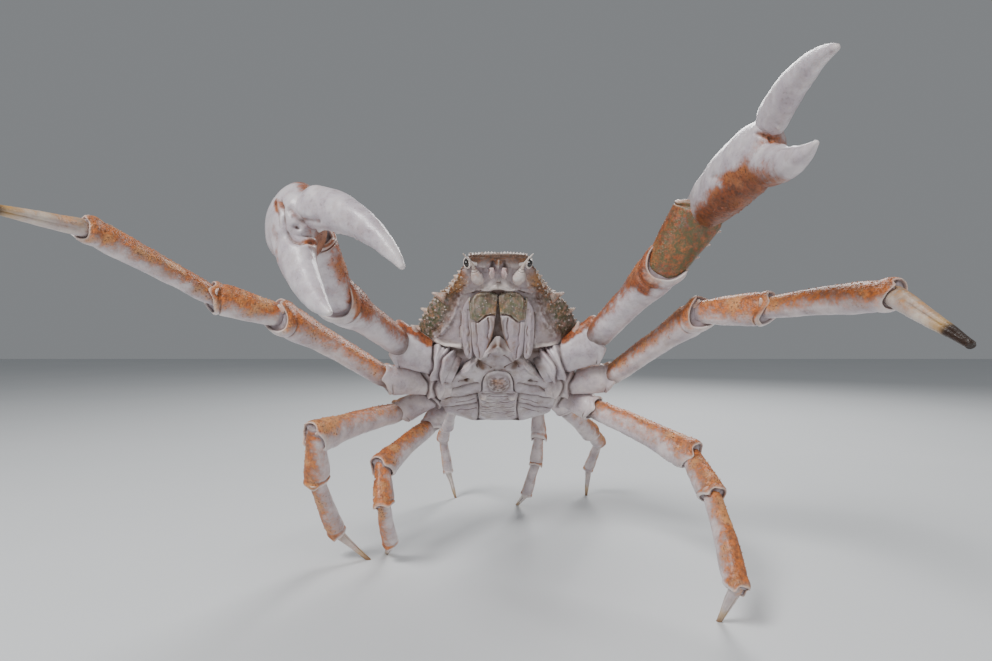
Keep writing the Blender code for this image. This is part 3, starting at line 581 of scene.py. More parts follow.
def bead_tree():
    """Scatters small rounded beads over a skin where its bead mask allows."""
    tree = bpy.data.node_groups.new("bead_scatter", "GeometryNodeTree")
    tree.interface.new_socket(name="Geometry", in_out="INPUT", socket_type="NodeSocketGeometry")
    for name, kind in (("Bead Size", "Float"), ("Beads Per Area", "Float"), ("Spacing", "Float"), ("Seed", "Int"),
                       ("Paleness", "Float"), ("Finish", "Material")):
        tree.interface.new_socket(name=name, in_out="INPUT", socket_type="NodeSocket" + kind)
    tree.interface.new_socket(name="Geometry", in_out="OUTPUT", socket_type="NodeSocketGeometry")
    given = node(tree, "NodeGroupInput").outputs
    mask = node(tree, "GeometryNodeInputNamedAttribute", {"Name": "beads"}, data_type="FLOAT").outputs[0]
    spots = node(tree, "GeometryNodeDistributePointsOnFaces", {
        "Mesh": given["Geometry"], "Distance Min": given["Spacing"], "Density Max": given["Beads Per Area"],
        "Density Factor": mask, "Seed": given["Seed"]}, distribute_method="POISSON").outputs
    ball = node(tree, "GeometryNodeMeshUVSphere", {"Segments": 8, "Rings": 5, "Radius": given["Bead Size"]})
    round_ball = node(tree, "GeometryNodeSetShadeSmooth", {"Geometry": ball.outputs["Mesh"]})
    size = node(tree, "FunctionNodeRandomValue", {2: 0.45, 3: 1.25, "Seed": given["Seed"]},
                data_type="FLOAT").outputs[1]
    beads = node(tree, "GeometryNodeInstanceOnPoints", {
        "Points": spots["Points"], "Instance": round_ball.outputs["Geometry"], "Rotation": spots["Rotation"],
        "Scale": size})
    whole = node(tree, "GeometryNodeRealizeInstances", {"Geometry": beads.outputs["Instances"]})
    pale = node(tree, "GeometryNodeStoreNamedAttribute", {
        "Geometry": whole.outputs["Geometry"], "Name": "rim", "Value": given["Paleness"]},
                data_type="FLOAT", domain="POINT")
    done = node(tree, "GeometryNodeSetMaterial", {"Geometry": pale.outputs["Geometry"], "Material": given["Finish"]})
    node(tree, "NodeGroupOutput", {"Geometry": done.outputs["Geometry"]})
    return tree


BEADS = bead_tree()


def plain_mesh(piece):
    """A piece's mesh with its modifiers worked in."""
    return bpy.data.meshes.new_from_object(piece.evaluated_get(bpy.context.evaluated_depsgraph_get()))


def grow_beads(piece, slot, size, spacing, seed, paleness=0.5):
    """Beads over a piece, as a plain mesh of their own."""
    change = piece.modifiers.new("beads", "NODES")
    change.node_group = BEADS
    values = {"Bead Size": size, "Spacing": spacing, "Beads Per Area": 1.0 / spacing ** 2, "Seed": seed,
              "Paleness": paleness, "Finish": piece.data.materials[0]}
    for item in BEADS.interface.items_tree:
        if item.item_type == "SOCKET" and item.in_out == "INPUT" and item.name in values:
            change[item.identifier] = values[item.name]
    mesh = plain_mesh(piece)
    piece.modifiers.remove(change)
    settle(new_object(piece.name + "_beads", mesh), slot)


back_finish = shell_finish("back_shell", (0.41, 0.34, 0.33, 1), (0.40, 0.13, 0.03, 1), (0.10, 0.055, 0.022, 1), 0.9,
                           (0.24, 0.24, 0.62), 0.0009, glow=(0.46, 0.24, 0.09, 1), moss=(0.045, 0.075, 0.028, 1))
back = make_piece("carapace_shell", carapace, back_finish)
grow_beads(back, "back_shell", 0.0010, 0.0026, 4)
settle(back, "back_shell", "carapace")
settle(make_piece("carapace_spines", spines, back_finish), "back_shell")

# The breastplate: the fused white plates of the chest, a shield between the limb roots.
# Cross furrows part the plates, and a wavy raised edge runs down each side from its point at the mouth.
BREAST_OUTLINE = ((0, 28), (10, 17), (25, 1), (40, -17), (54, -34), (57, -45), (56, -60), (50, -74), (30, -84))
BREAST_FORMS = (
    (((19, -26), (34, -31), (56, -40)), 1.1, -2.2), (((21, -41), (38, -46), (56, -51)), 1.1, -2.2),
    (((20, -56), (36, -61), (54, -65)), 1.0, -2.0), (((21, -48), (40, -54)), 0.8, -0.8),
    (((21, -63), (40, -68)), 0.8, -0.8), (((19, 12), (16, 4), (19, -2)), 1.3, -2.2), (((0, 20), (0, 10)), 1.4, -0.4),
    (((3, 22), (12, 11), (27, -2)), 1.6, 0.7), (((6, 14), (14, 3), (6, -3)), 1.6, -1.2),
    (((29, -21), (31, -22)), 1.1, -4.0), (((31, -22), (37, -25)), 0.7, -1.4),
    (((24, 2), (30, -7), (36, -13), (44, -22), (52, -32)), 2.2, 3.6), (((27, 4), (40, -13), (55, -31)), 1.2, -2.4),
    (((24, -8), (38, -24)), 4.0, -0.8), (((42, -21), (43, -23)), 1.0, -1.6), (((28, -36), (46, -42)), 3.6, 1.2),
    (((28, -52), (48, -56)), 3.6, 1.1), (((51, -34), (54, -36)), 2.2, 2.4), (((46, -37), (48, -38)), 1.8, 1.2),
)
BREAST_STAINS = ((((14, -4), (17, 3)), 3.2, 0.75), ((30, -22), 2.0, 0.8), (((26, -26), (52, -38)), 1.6, 0.35),
                 (((3, -6), (11, -9)), 1.6, 0.45))
SHIELD_EDGE = ((14, 13), (28, -1), (54, -35))
TAIL_EDGE = ((7.0, 2), (8.2, 6), (11, 10), (16, 13), (26, 15), (38, 15.6), (42, 20), (47, 20), (60, 19), (74, 19.5),
             (84, 21))
BREAST_DEPTH, TAIL_TRENCH = 12.0, 3.0
v = np.concatenate((np.linspace(26, 20, 18), np.linspace(19.5, -76, 200), np.linspace(-76.5, -84, 12)))[:, None]
width = through([-row[1] for row in BREAST_OUTLINE], [row[0] for row in BREAST_OUTLINE], -v[:, 0])[:, None]
width = np.maximum(width + 0.8 * np.sin(v * 0.5) * soft_step(0, 30, width), 0.6)
spread = np.sin(np.linspace(-1.22, 1.22, 250)) / math.sin(1.22)
behind = spread[-2:0:-12]
plate = np.stack(np.broadcast_arrays(width * spread, v, 2.2 * np.abs(spread) ** 7), axis=-1)
over = np.stack(np.broadcast_arrays(width * 0.94 * behind, v, np.full(len(behind), BREAST_DEPTH)), axis=-1)
flat = wavy(plate[..., :2], 1.9, 7.5, 81) * one_side(plate[..., :2])
lift = 0.35 * swell(plate, 9.0, 8) + 0.16 * swell(plate, 3.4, 9) + relief(flat, BREAST_FORMS)
plate[..., 2] -= lift * (1 - np.abs(spread) ** 8)
plate[..., 2] -= 1.5 * hump(flat[..., 0], 0.0, 10.0) * soft_step(4, 16, flat[..., 1])
flat = wavy(plate[..., :2], 0.35, 4.0, 84) * one_side(plate[..., :2])
tail_edge = np.interp(-flat[..., 1], [row[0] for row in TAIL_EDGE], [row[1] for row in TAIL_EDGE])
trench = soft_step(tail_edge + 0.9, tail_edge + 0.2, flat[..., 0]) * soft_step(-6.0, -7.2, flat[..., 1])
plate[..., 2] += TAIL_TRENCH * trench
# Dark brown in the pits and along the deep furrows, partly stain and partly painted shade, with painted shadow at both
# sides of the point by the mouth and beside the edge of the tail.
stain_and_shade = relief(flat, BREAST_STAINS)
breast_grime_and_shade = (1.1 * stain_and_shade + sum(raised(flat, path, 3.2 * size, 0.30) for path, size, height in BREAST_FORMS if height < -1.0)
        + 0.8 * soft_step(16, 22, flat[..., 1]) * soft_step(0.5, 1.0, np.abs(spread))
        + 0.35 * soft_step(tail_edge + 5, tail_edge, flat[..., 0]))
marks = {"rust": stain_and_shade, "stain_and_shade": breast_grime_and_shade, "beads": raised(flat, SHIELD_EDGE, 1.6, 0.5)}
marks = {key: np.concatenate((value, np.zeros(over.shape[:2])), axis=1) for key, value in marks.items()}
under_finish = shell_finish("white_underside", (0.66, 0.60, 0.61, 1), (0.36, 0.16, 0.075, 1), (0.13, 0.07, 0.045, 1),
                            0.35, (0.16, 0.0, 0.6), 0.0004, film=0.55)
sternum = make_piece("breastplate_shell", [shell_of(on_body(np.concatenate((plate, over), axis=1)), marks)],
                     under_finish)
grow_beads(sternum, "under_shell", 0.0007, 0.0022, 6)
settle(sternum, "under_shell", "sternum")

# The tail: a narrow jointed flap of white plates, folded forward along the breastplate.
# Its last plate is a round tongue with a brown grained middle, and the plate behind it has two knobs.
# The tail's middle line: towards the head, towards the back, and half width.
TAIL_PATH = ((-7.8, 1.4, 3.0), (-9, 1.2, 7), (-14, 0.8, 11.5), (-26, 0.6, 14.2), (-37, 0.7, 14.8), (-40.5, 0.8, 18.6),
             (-44, 0.8, 19), (-48, 1.1, 18.4), (-60, 1.2, 18), (-74, 1.6, 18.5), (-84, 4, 20), (-91, 12, 22),
             (-92.5, 22, 22), (-90, 31, 20), (-84, 36, 15))
TAIL_HALF_DEPTH = 2.8
TAIL_SEAMS = (-39.5, -49.0, -57.0, -65.0, -73.5)
TAIL_KNOB, KNOB_RADIUS, KNOB_HEIGHT = ((13.4, -43.0), (15.0, -43.0)), 2.9, 5.0
reach = np.concatenate(([0], np.cumsum([math.dist(a[:2], b[:2]) for a, b in zip(TAIL_PATH, TAIL_PATH[1:])])))
track = through(reach / reach[-1], TAIL_PATH, np.linspace(0, 1, 300))
along = unit(np.gradient(track[:, :2], axis=0))
turn = turns(150)
outward = np.stack((along[:, 1], -along[:, 0]), axis=1)
outward *= np.where(outward[:, 1:] > 0, -1, 1)
u = track[:, 2][:, None] * (np.sign(np.cos(turn)) * np.abs(np.cos(turn)) ** 0.9)
forward = track[:, 0][:, None] + 0 * u
places, flat = np.stack((u, forward, 0 * u), axis=-1), np.stack((np.abs(u), forward), axis=-1)
lift, seams = 0.0, 0.0
for seam in TAIL_SEAMS:
    wander = 0.7 * np.sin(np.abs(u) * 0.42 + seam) + 0.5 * swell(places, 6.0, 12)
    bow = forward - (seam + 1.6 * (u / 20.0) ** 2 + wander)
    lift = lift - 1.6 * hump(bow, 0.0, 0.6) + 0.8 * hump(bow, 1.9, 1.1) - 0.5 * hump(bow, -3.6, 0.5)
    seams = seams + hump(forward, seam + 1.0, 1.5)
patch = np.hypot(flat[..., 0], (flat[..., 1] + 24.0) * 0.86) + 1.1 * swell(places, 4.5, 14)
knobs = raised(flat, TAIL_KNOB, KNOB_RADIUS)
lift = lift * (1 - 0.8 * knobs) + KNOB_HEIGHT * knobs + 1.3 * soft_step(11.0, 7.0, patch) - 0.3 * hump(patch, 10.8, 1.2)
lift = lift + raised(flat, ((6, -44.5), (8, -44.5)), 1.6, 0.8) + 0.25 * swell(places, 3.0, 11)
facing = soft_step(0.25, 0.6, np.sin(turn))
height = TAIL_HALF_DEPTH * np.sign(np.sin(turn)) * np.abs(np.sin(turn)) ** 0.6 + lift * facing
skin = np.stack((u, track[:, :1] + outward[:, :1] * height, track[:, 1:2] + outward[:, 1:] * height), axis=-1)
speckle = soft_step(-0.15, 0.25, swell(places, 1.7, 13))
# Painted shade: a dark ring round the foot of each knob.
ring = np.clip(raised(flat, TAIL_KNOB, 4.6) - 1.6 * knobs, 0, 1)
marks = {
    "stain_and_shade": ((0.15 + 0.7 * speckle) * soft_step(10.8, 8.0, patch) + 0.5 * hump(patch, 11, 1.6) + 0.3 * seams
              + 0.8 * ring) * facing,
    "rim": 0.8 * knobs * facing,
    "rust": (0.5 * soft_step(10.5, 6.0, patch) + raised(flat, ((8, -46), (10, -46)), 2.0, 0.3)) * facing,
    "beads": 0.9 * soft_step(9.5, 6.0, patch) * facing,
}
tail = make_piece("tail_flap", [shell_of(on_body(skin), marks)], under_finish)
grow_beads(tail, "under_shell", 0.0006, 0.0013, 7, 0.3)
settle(tail, "under_shell", "abdomen")

# The mouth covers: a pair of cushioned plates that close the mouth, parted by a slit that widens downwards.
# Each is an inner plate of two flat segments, and a long outer strip beside it, on a slope up to the front.
MOUTH_FOOT = np.array((10.0, 0.0))
MOUTH_RUN = unit((49.0, 34.0))
INNER_OUTLINE = ((8.6, 10), (5.4, 18), (3.2, 28), (1.8, 40), (0.8, 50), (1.0, 56.5), (6, 59.4), (13, 60), (20, 57.6),
                 (24, 52), (25, 44), (24.4, 28), (22.4, 6), (17, -2), (11, 1))
OUTER_OUTLINE = ((24.5, 54), (29, 50), (32, 42), (32.8, 28), (31, 6), (27, -1), (23.5, 3), (24.4, 30))
INNER_FOLDS = (
    (((0, 39), (7, 40), (14, 36), (18, 32.5), (25, 35)), 0.9, -2.2), (((7, 6), (9, 18), (8.5, 36)), 1.0, -1.2),
    (((16, 0), (18.5, 14), (19, 31)), 0.9, -1.0), (((12, 4), (13, 30)), 2.8, 1.1),
    (((4, 42), (4, 56)), 1.8, 0.7), (((9, 46), (14, 50), (19, 46)), 3.6, 1.2), (((12, 43), (20, 39)), 2.4, 0.6),
    (((22, 40), (22, 54)), 1.4, 0.8), (((3.5, 18), (3.5, 36)), 1.2, 0.8), (((10, 57), (18, 55)), 1.6, -0.8),
)
OUTER_FOLDS = ((((28, 4), (29, 40)), 1.8, 1.1), (((25.8, 6), (26.2, 44)), 0.8, -0.5))
COVER_DEPTH, COVER_EDGE = 7.0, 1.6


def on_mouth(places):
    """Places in mm across, up the slope and out from it, as places in the room."""
    places = np.asarray(places, float)
    forward = MOUTH_FOOT[0] + MOUTH_RUN[0] * places[..., 1] + MOUTH_RUN[1] * places[..., 2]
    dorsal = MOUTH_FOOT[1] + MOUTH_RUN[1] * places[..., 1] - MOUTH_RUN[0] * places[..., 2]
    return on_body(np.stack((places[..., 0], forward, dorsal), axis=-1))


def round_outline(outline, count):
    """A smooth closed line through an outline's corners."""
    corners = np.asarray(outline, float)
    number = len(corners)
    share = np.linspace(0, number, count, endpoint=False)
    k = share.astype(int)
    t = (share - k)[:, None]
    a, b, c, d = (corners[(k + shift) % number] for shift in (-1, 0, 1, 2))
    return 0.5 * (2 * b + (c - a) * t + (2 * a - 5 * b + 4 * c - d) * t * t + (3 * b - a - 3 * c + d) * t ** 3)


def cushioned(outline, sign, level, folds, crown):
    """A plate with a rounded edge, a low crown and folds, on the slope of the mouth."""
    line = round_outline(outline, 150)
    centre = line.mean(axis=0)
    steps = [(1.0, -COVER_DEPTH), (1.0, level - 1.5 * COVER_EDGE), (0.995, level - COVER_EDGE)]
    steps += [(math.cos(a) * 0.12 + 0.87, level - COVER_EDGE * (1 - math.sin(a))) for a in np.linspace(0.15, 1.5, 8)]
    steps += [(size, level) for size in np.linspace(0.86, 0.02, 46)]
    rings = []
    for size, height in steps:
        flat = centre + (line - centre) * size
        lift = crown * (1 - size ** 2) + relief(wavy(flat, 0.9, 4.0, 91), folds) * soft_step(1.0, 0.93, size)
        lift = lift + 0.25 * swell(np.c_[flat, flat[:, :1] * 0], 4.0, 15) * soft_step(1.0, 0.9, size)
        rings.append(np.c_[flat[:, 0] * sign, flat[:, 1], height + lift])
    rings = np.array(rings)
    across, up = np.abs(rings[..., 0]), rings[..., 1]
    seam = np.interp(across, (0, 7, 14, 18, 25, 27), (39, 40, 36, 32.5, 35, 60))
    high = soft_step(-0.8, 1.2, up - seam + 0.8 * swell(rings, 3.0, 16))
    slit = np.interp(up, (10, 18, 28, 40), (8.6, 5.4, 3.2, 1.8))
    brown = soft_step(3.0, 0.6, across - slit) * soft_step(44, 30, up)
    return shell_of(on_mouth(rings), {
        "moss": 0.85 * high, "rust": 0.75 * high + 0.5 * brown, "beads": 0.3 * high,
        "stain_and_shade": 0.8 * brown + 0.35 * high * soft_step(0.0, 0.6, swell(rings, 3.0, 17))})


mouth_finish = shell_finish("mouth_covers", (0.38, 0.32, 0.33, 1), (0.36, 0.19, 0.085, 1), (0.13, 0.075, 0.04, 1), 0.8,
                            (0.20, 0.0, 0.62), 0.0006, moss=(0.10, 0.13, 0.06, 1), film=0.6)
for hand, sign in SIDES:
    shells = [cushioned(INNER_OUTLINE, sign, 0.0, INNER_FOLDS, 0.6),
              cushioned(OUTER_OUTLINE, sign, -1.0, OUTER_FOLDS, 0.4)]
    cover = make_piece(f"mouth_cover_{hand}", shells, mouth_finish)
    grow_beads(cover, "mouth_shell", 0.0006, 0.0017, 8)
    settle(cover, "mouth_shell", f"maxilliped_{hand}")

# The eyes: small black ovals on short stalks, each set in a pale ring at a corner of the front plate.
# Their cover is hard, glossy and faceted far more finely than the eye can see at arm's length.
EYE_PLACE = np.array((27.0, 87.5, 40.5))
EYE_HALF = np.array((2.7, 3.0, 4.3))
EYE_LOOK = unit((0.62, 0.60, -0.50))
RING_SINK, RING_ACROSS, RING_UP, RING_THICK, RING_DEEP = 0.6, 3.3, 4.7, 0.8, 1.0
STALK_REACH = 9.0
eye_finish, tree, shader, place = new_finish("eye_cover", 0.12, 0.6)
facets = cells(tree, place, 5000.0)
tree.links.new(blend_colours(tree, facets, (0.006, 0.006, 0.008, 1), (0.03, 0.026, 0.022, 1)),
               shader.inputs["Base Color"])
facet_bump = node(tree, "ShaderNodeBump", {"Height": facets, "Strength": 0.2, "Distance": 0.00005})
tree.links.new(facet_bump.outputs["Normal"], shader.inputs["Normal"])
stalk_finish = shell_finish("stalk_skin", (0.72, 0.66, 0.60, 1), (0.50, 0.26, 0.12, 1), (0.25, 0.14, 0.08, 1), 0.4,
                            (0.25, 0.0, 0.5), 0.0002)
for hand, sign in SIDES:
    latitude, spin = np.linspace(-1.45, 1.45, 40)[:, None], turns(56)[None, :]
    ball = EYE_PLACE + EYE_HALF * np.stack(np.broadcast_arrays(
        np.sin(latitude), np.cos(latitude) * np.sin(spin), np.cos(latitude) * np.cos(spin)), axis=-1)
    settle(make_piece(f"eye_ball_{hand}", [shell_of(on_body(ball * (sign, 1, 1)))], eye_finish), "eye", f"eye_{hand}")
    level, steep = square_to(EYE_LOOK, (0.0, 0.3, 1.0))
    rings = []
    for angle in np.linspace(0, 2 * np.pi, 49):
        facing = level * math.cos(angle) + steep * math.sin(angle)
        hub = (EYE_PLACE - EYE_LOOK * RING_SINK + level * math.cos(angle) * RING_ACROSS
               + steep * math.sin(angle) * RING_UP)
        rings.append([(hub + facing * math.cos(a) * RING_THICK + EYE_LOOK * math.sin(a) * RING_DEEP) * (sign, 1, 1)
                      for a in turns(14)])
    shells = [shell_of(on_body(rings), {"rim": 0.8})]
    s, a = np.linspace(0, 1, 12)[:, None], turns(24)
    stem = np.stack(np.broadcast_arrays(
        EYE_PLACE[0] - STALK_REACH + 8.0 * s, EYE_PLACE[1] - 1.5 * (1 - s) + np.sin(a) * (1.7 + s),
        EYE_PLACE[2] + np.cos(a) * (1.9 + 1.4 * s)), axis=-1)
    shells.append(shell_of(on_body(stem * (sign, 1, 1))))
    settle(make_piece(f"eye_ring_{hand}", shells, stalk_finish), "mouth_shell")

# The feelers and the parts between the eyes: a swollen white base beside the mouth carries each long feeler.
# A pair of small folded feelers hangs in two notches, above the pale lip that the mouth covers close against.
# Paths in mm across, towards the head and towards the back, and half thickness along them.
FEELER_PATH = ((16.5, 70, 36.5, 4.6), (18.5, 75, 35.6, 5.4), (20.0, 80, 36.2, 3.6), (20.8, 84, 37.0, 1.7),
               (22.5, 89, 37.0, 1.0), (25.5, 95, 36.0, 0.75), (29.5, 101, 35.5, 0.45))
FOLDED_PATH = ((5.6, 84, 37.5), (5.0, 80, 35.6), (5.6, 76, 35.0), (6.6, 79, 34.0), (6.2, 83, 34.4), (7.6, 80, 33.2))
FOLDED_HALF = ((0, 1.9), (0.2, 2.2), (0.45, 1.5), (0.6, 1.1), (1.0, 0.5))
LIP_HALF = ((0, 2.6), (0.3, 2.2), (0.8, 1.7), (1.0, 0.9))


def even_path(points, count):
    """Places spaced evenly along a smooth line through a few points."""
    return through(np.linspace(0, 1, len(points)), points, np.linspace(0, 1, count))


def tube_rings(centres, halves, sides):
    """Round rings along a path of places in the room, in metres."""
    side, rise = square_to(unit(np.gradient(centres, axis=0)), AXES[2])
    spin = turns(sides)[:, None]
    return centres[:, None] + halves[:, None, None] * (side[:, None] * np.cos(spin) + rise[:, None] * np.sin(spin))


folded_finish = shell_finish("pink_feelers", (0.60, 0.42, 0.42, 1), (0.50, 0.15, 0.13, 1), (0.26, 0.07, 0.07, 1), 0.5,
                             (0.2, 0.0, 0.35), 0.0002, glow=(0.62, 0.34, 0.32, 1))
for hand, sign in SIDES:
    path = even_path(FEELER_PATH, 120)
    half, step = path[:, 3], np.arange(120)
    half = half * (1 + 0.10 * np.sin(step * 1.6) * (half < 1.6))
    half = half * (1 - 0.12 * hump(step, 46, 2.0) - 0.2 * hump(step, 58, 1.5))
    rings = tube_rings(on_body(path[:, :3] * (sign, 1, 1)), half * MM, 36)
    lift = 0.35 * MM * swell(rings / MM, 3.0, 21) * (path[:, 3] > 2)[:, None]
    rings = rings + grid_normals(rings) * lift[..., None]
    shells = [shell_of(rings, {"rust": 0.30 + 0.35 * soft_step(3, 1, path[:, 3])[:, None], "upper": -0.2})]
    settle(make_piece(f"feeler_{hand}", shells, stalk_finish), "mouth_shell", f"antenna_{hand}")
    half = from_table(FOLDED_HALF, np.linspace(0, 1, 70))[:, 0]
    rings = tube_rings(on_body(even_path(FOLDED_PATH, 70) * (sign, 1, 1)), half * MM, 22)
    settle(make_piece(f"folded_feeler_{hand}", [shell_of(rings, {"rust": 0.8})], folded_finish), "mouth_shell")
    a = np.linspace(0.2, 15, 40)
    lip_path = np.stack((sign * a, 63.5 + 1.2 * np.cos(a * 0.3), 35.4 - 0.008 * a * a), axis=1)
    half = from_table(LIP_HALF, np.linspace(0, 1, 40))[:, 0]
    shells = [shell_of(tube_rings(on_body(lip_path), half * MM, 26), {"rim": 0.6})]
    settle(make_piece(f"small_feeler_{hand}", shells, stalk_finish), "mouth_shell")

# The limbs: ten jointed tubes of limy shell, from the folded rings at the root to the tip.
# Each segment ends in a cup with two side knobs on which the next one turns, and its upper side is rust and spined.
SEGMENTS = ("hip", "merus", "carpus", "propodus", "dactyl")
PAIRS = {
    1: {"root": (42, -15, 10), "length": (50, 110, 52, 100), "depth": (38, 34, 37)},
    2: {"root": (52, -38, 8), "length": (55, 116, 51, 98, 75), "depth": (27, 26, 24, 21, 14)},
    3: {"root": (56, -60, 16), "length": (45, 105, 43, 71, 41), "depth": (24, 23, 20, 17, 10.5)},
    4: {"root": (52, -78, 30), "length": (40, 81, 34, 54, 38), "depth": (20, 20, 17, 14.5, 9.5)},
    5: {"root": (40, -86, 46), "length": (34, 60, 32, 50, 40), "depth": (17, 17, 16, 14, 9)},
}
# The way that each segment points: its turn round the room and its rise. A tip with no rise reaches the floor.
POSE = {
    (1, "left"): ((-9, 28), (-57, 36), (-31, 55), (-86, 11)),
    (2, "left"): ((-10, 9), (-51, 31), (-44, 2), (-67, 3), (-95, -23)),
    (3, "left"): ((-35, -15), (-45, -17), (-82, -32), (-89, -48), (105, None)),
    (4, "left"): ((56, -28), (57, -27), (61, -28), (103, -50), (105, None)),
    (5, "left"): ((83, 0), (41, -87), (113, -77), (110, -57), (109, None)),
    (1, "right"): ((-172, 24), (-113, 22), (-112, 51), (-75, -4)),
    (2, "right"): ((-162, 8), (-144, 30), (-150, 16), (-133, 27), (-110, 3)),
    (3, "right"): ((-164, -22), (-123, -5), (104, -69), (80, -56), (10, None)),
    (4, "right"): ((-124, -47), (-118, -19), (-75, -60), (90, -55), (107, None)),
    (5, "right"): ((106, -36), (106, -34), (104, -36), (76, -66), (43, None)),
}
# How thick each kind of segment is: share of its length, and share of its depth.
SEGMENT_FORM = {
    "hip": ((0.00, 0.78), (0.26, 0.98), (0.42, 0.84), (0.58, 0.92), (0.88, 1.06), (1.0, 1.00)),
    "merus": ((0.00, 0.60), (0.08, 0.80), (0.30, 0.90), (0.65, 0.98), (0.90, 1.20), (1.0, 1.16)),
    "carpus": ((0.00, 0.56), (0.14, 0.78), (0.50, 0.98), (0.84, 1.10), (1.0, 1.06)),
    "propodus": ((0.00, 0.56), (0.10, 0.80), (0.40, 0.94), (0.80, 1.06), (0.95, 1.04), (1.0, 0.96)),
    "dactyl": ((0.00, 0.70), (0.12, 0.96), (0.40, 0.82), (0.75, 0.55), (1.0, 0.36)),
}
# Spines along the upper side: how many, reach, radius, and the share of the length where they start and end.
UPPER_SPINES = {
    (1, "hip"): (1, 9.0, 6.0, 0.86, 0.86), (1, "merus"): (5, 3.2, 3.4, 0.30, 0.92),
    (1, "carpus"): (4, 3.4, 3.2, 0.30, 0.82), (2, "merus"): (4, 2.4, 2.8, 0.34, 0.92),
    (2, "carpus"): (2, 2.2, 2.6, 0.42, 0.82), (3, "merus"): (4, 2.2, 2.6, 0.40, 0.92),
    (3, "carpus"): (2, 2.0, 2.4, 0.45, 0.82), (4, "merus"): (3, 2.0, 2.4, 0.45, 0.92),
    (4, "carpus"): (2, 1.8, 2.2, 0.45, 0.82), (5, "merus"): (2, 1.8, 2.2, 0.50, 0.88),
}
WIDTH_SHARE, HEAD_SHARE, RIM_SHARE, FOOT_SINK = 0.86, 0.42, 0.12, 0.0012
LIMB_SIDES, SLIM_LIMB_SIDES = 96, 72
LIMB_BEAD, LIMB_BEAD_SPACING, LIMB_BEAD_PALENESS = 0.00055, 0.0025, 0.12
HIP_INSET = {1: 0.003, 2: 0.006, 3: 0.008, 4: 0.010, 5: 0.012}
RUST_SHARE = {"hip": 0.0, "merus": 0.46, "carpus": 0.75, "propodus": 0.65, "dactyl": 0.45}
# Folds round a hip: seat along it, depth, thickness, how near they draw together below, and bulge in front.
HIP_FOLDS = ((0.22, 3.2, 0.017, 0.75, 0.09), (0.33, 1.3, 0.009, 0.62, 0.03), (0.40, 0.9, 0.007, 0.80, -0.02),
             (0.50, 3.4, 0.018, 0.72, -0.05))
# Where a limb segment is thickened or pinched: height, place along it, and width. The first is its collar.
COLLAR = ((0.9, 0.965, 0.03), (-0.6, 0.90, 0.02), (-0.7, 0.10, 0.02))
# The inner wall of a cup: share of its edge, depth, paleness and soft skin.
CUP_WALL = np.array((
    (0.985, -0.012, 0.45, 0), (0.955, -0.014, 0.4, 0), (0.92, 0.0, 0.3, 0.2), (0.88, 0.03, 0.2, 0.7),
    (0.84, 0.055, 0, 1), (0.78, 0.05, 0, 1), (0.66, 0.02, 0, 1), (0.4, 0.0, 0, 1), (0.1, 0.0, 0, 1)))


def heading(azimuth, rise):
    azimuth, rise = math.radians(azimuth), math.radians(rise)
    return np.array((math.cos(rise) * math.cos(azimuth), math.cos(rise) * math.sin(azimuth), math.sin(rise)))


def limb_joints(pair, hand):
    """The joint places of one limb, and the way that its upper side faces."""
    across, forward, dorsal = PAIRS[pair]["root"]
    places = [on_body((across if hand == "left" else -across, forward, dorsal))]
    for length, (azimuth, rise) in zip(PAIRS[pair]["length"], POSE[(pair, hand)]):
        if rise is None:
            rise = -math.degrees(math.asin(min(0.98, (places[-1][2] + FOOT_SINK) / (length * MM))))
        places.append(places[-1] + heading(azimuth, rise) * length * MM)
    level = (places[2] - BODY_PLACE) * (1, 1, 0)
    return places, unit(unit(level) + (0, 0, 1))


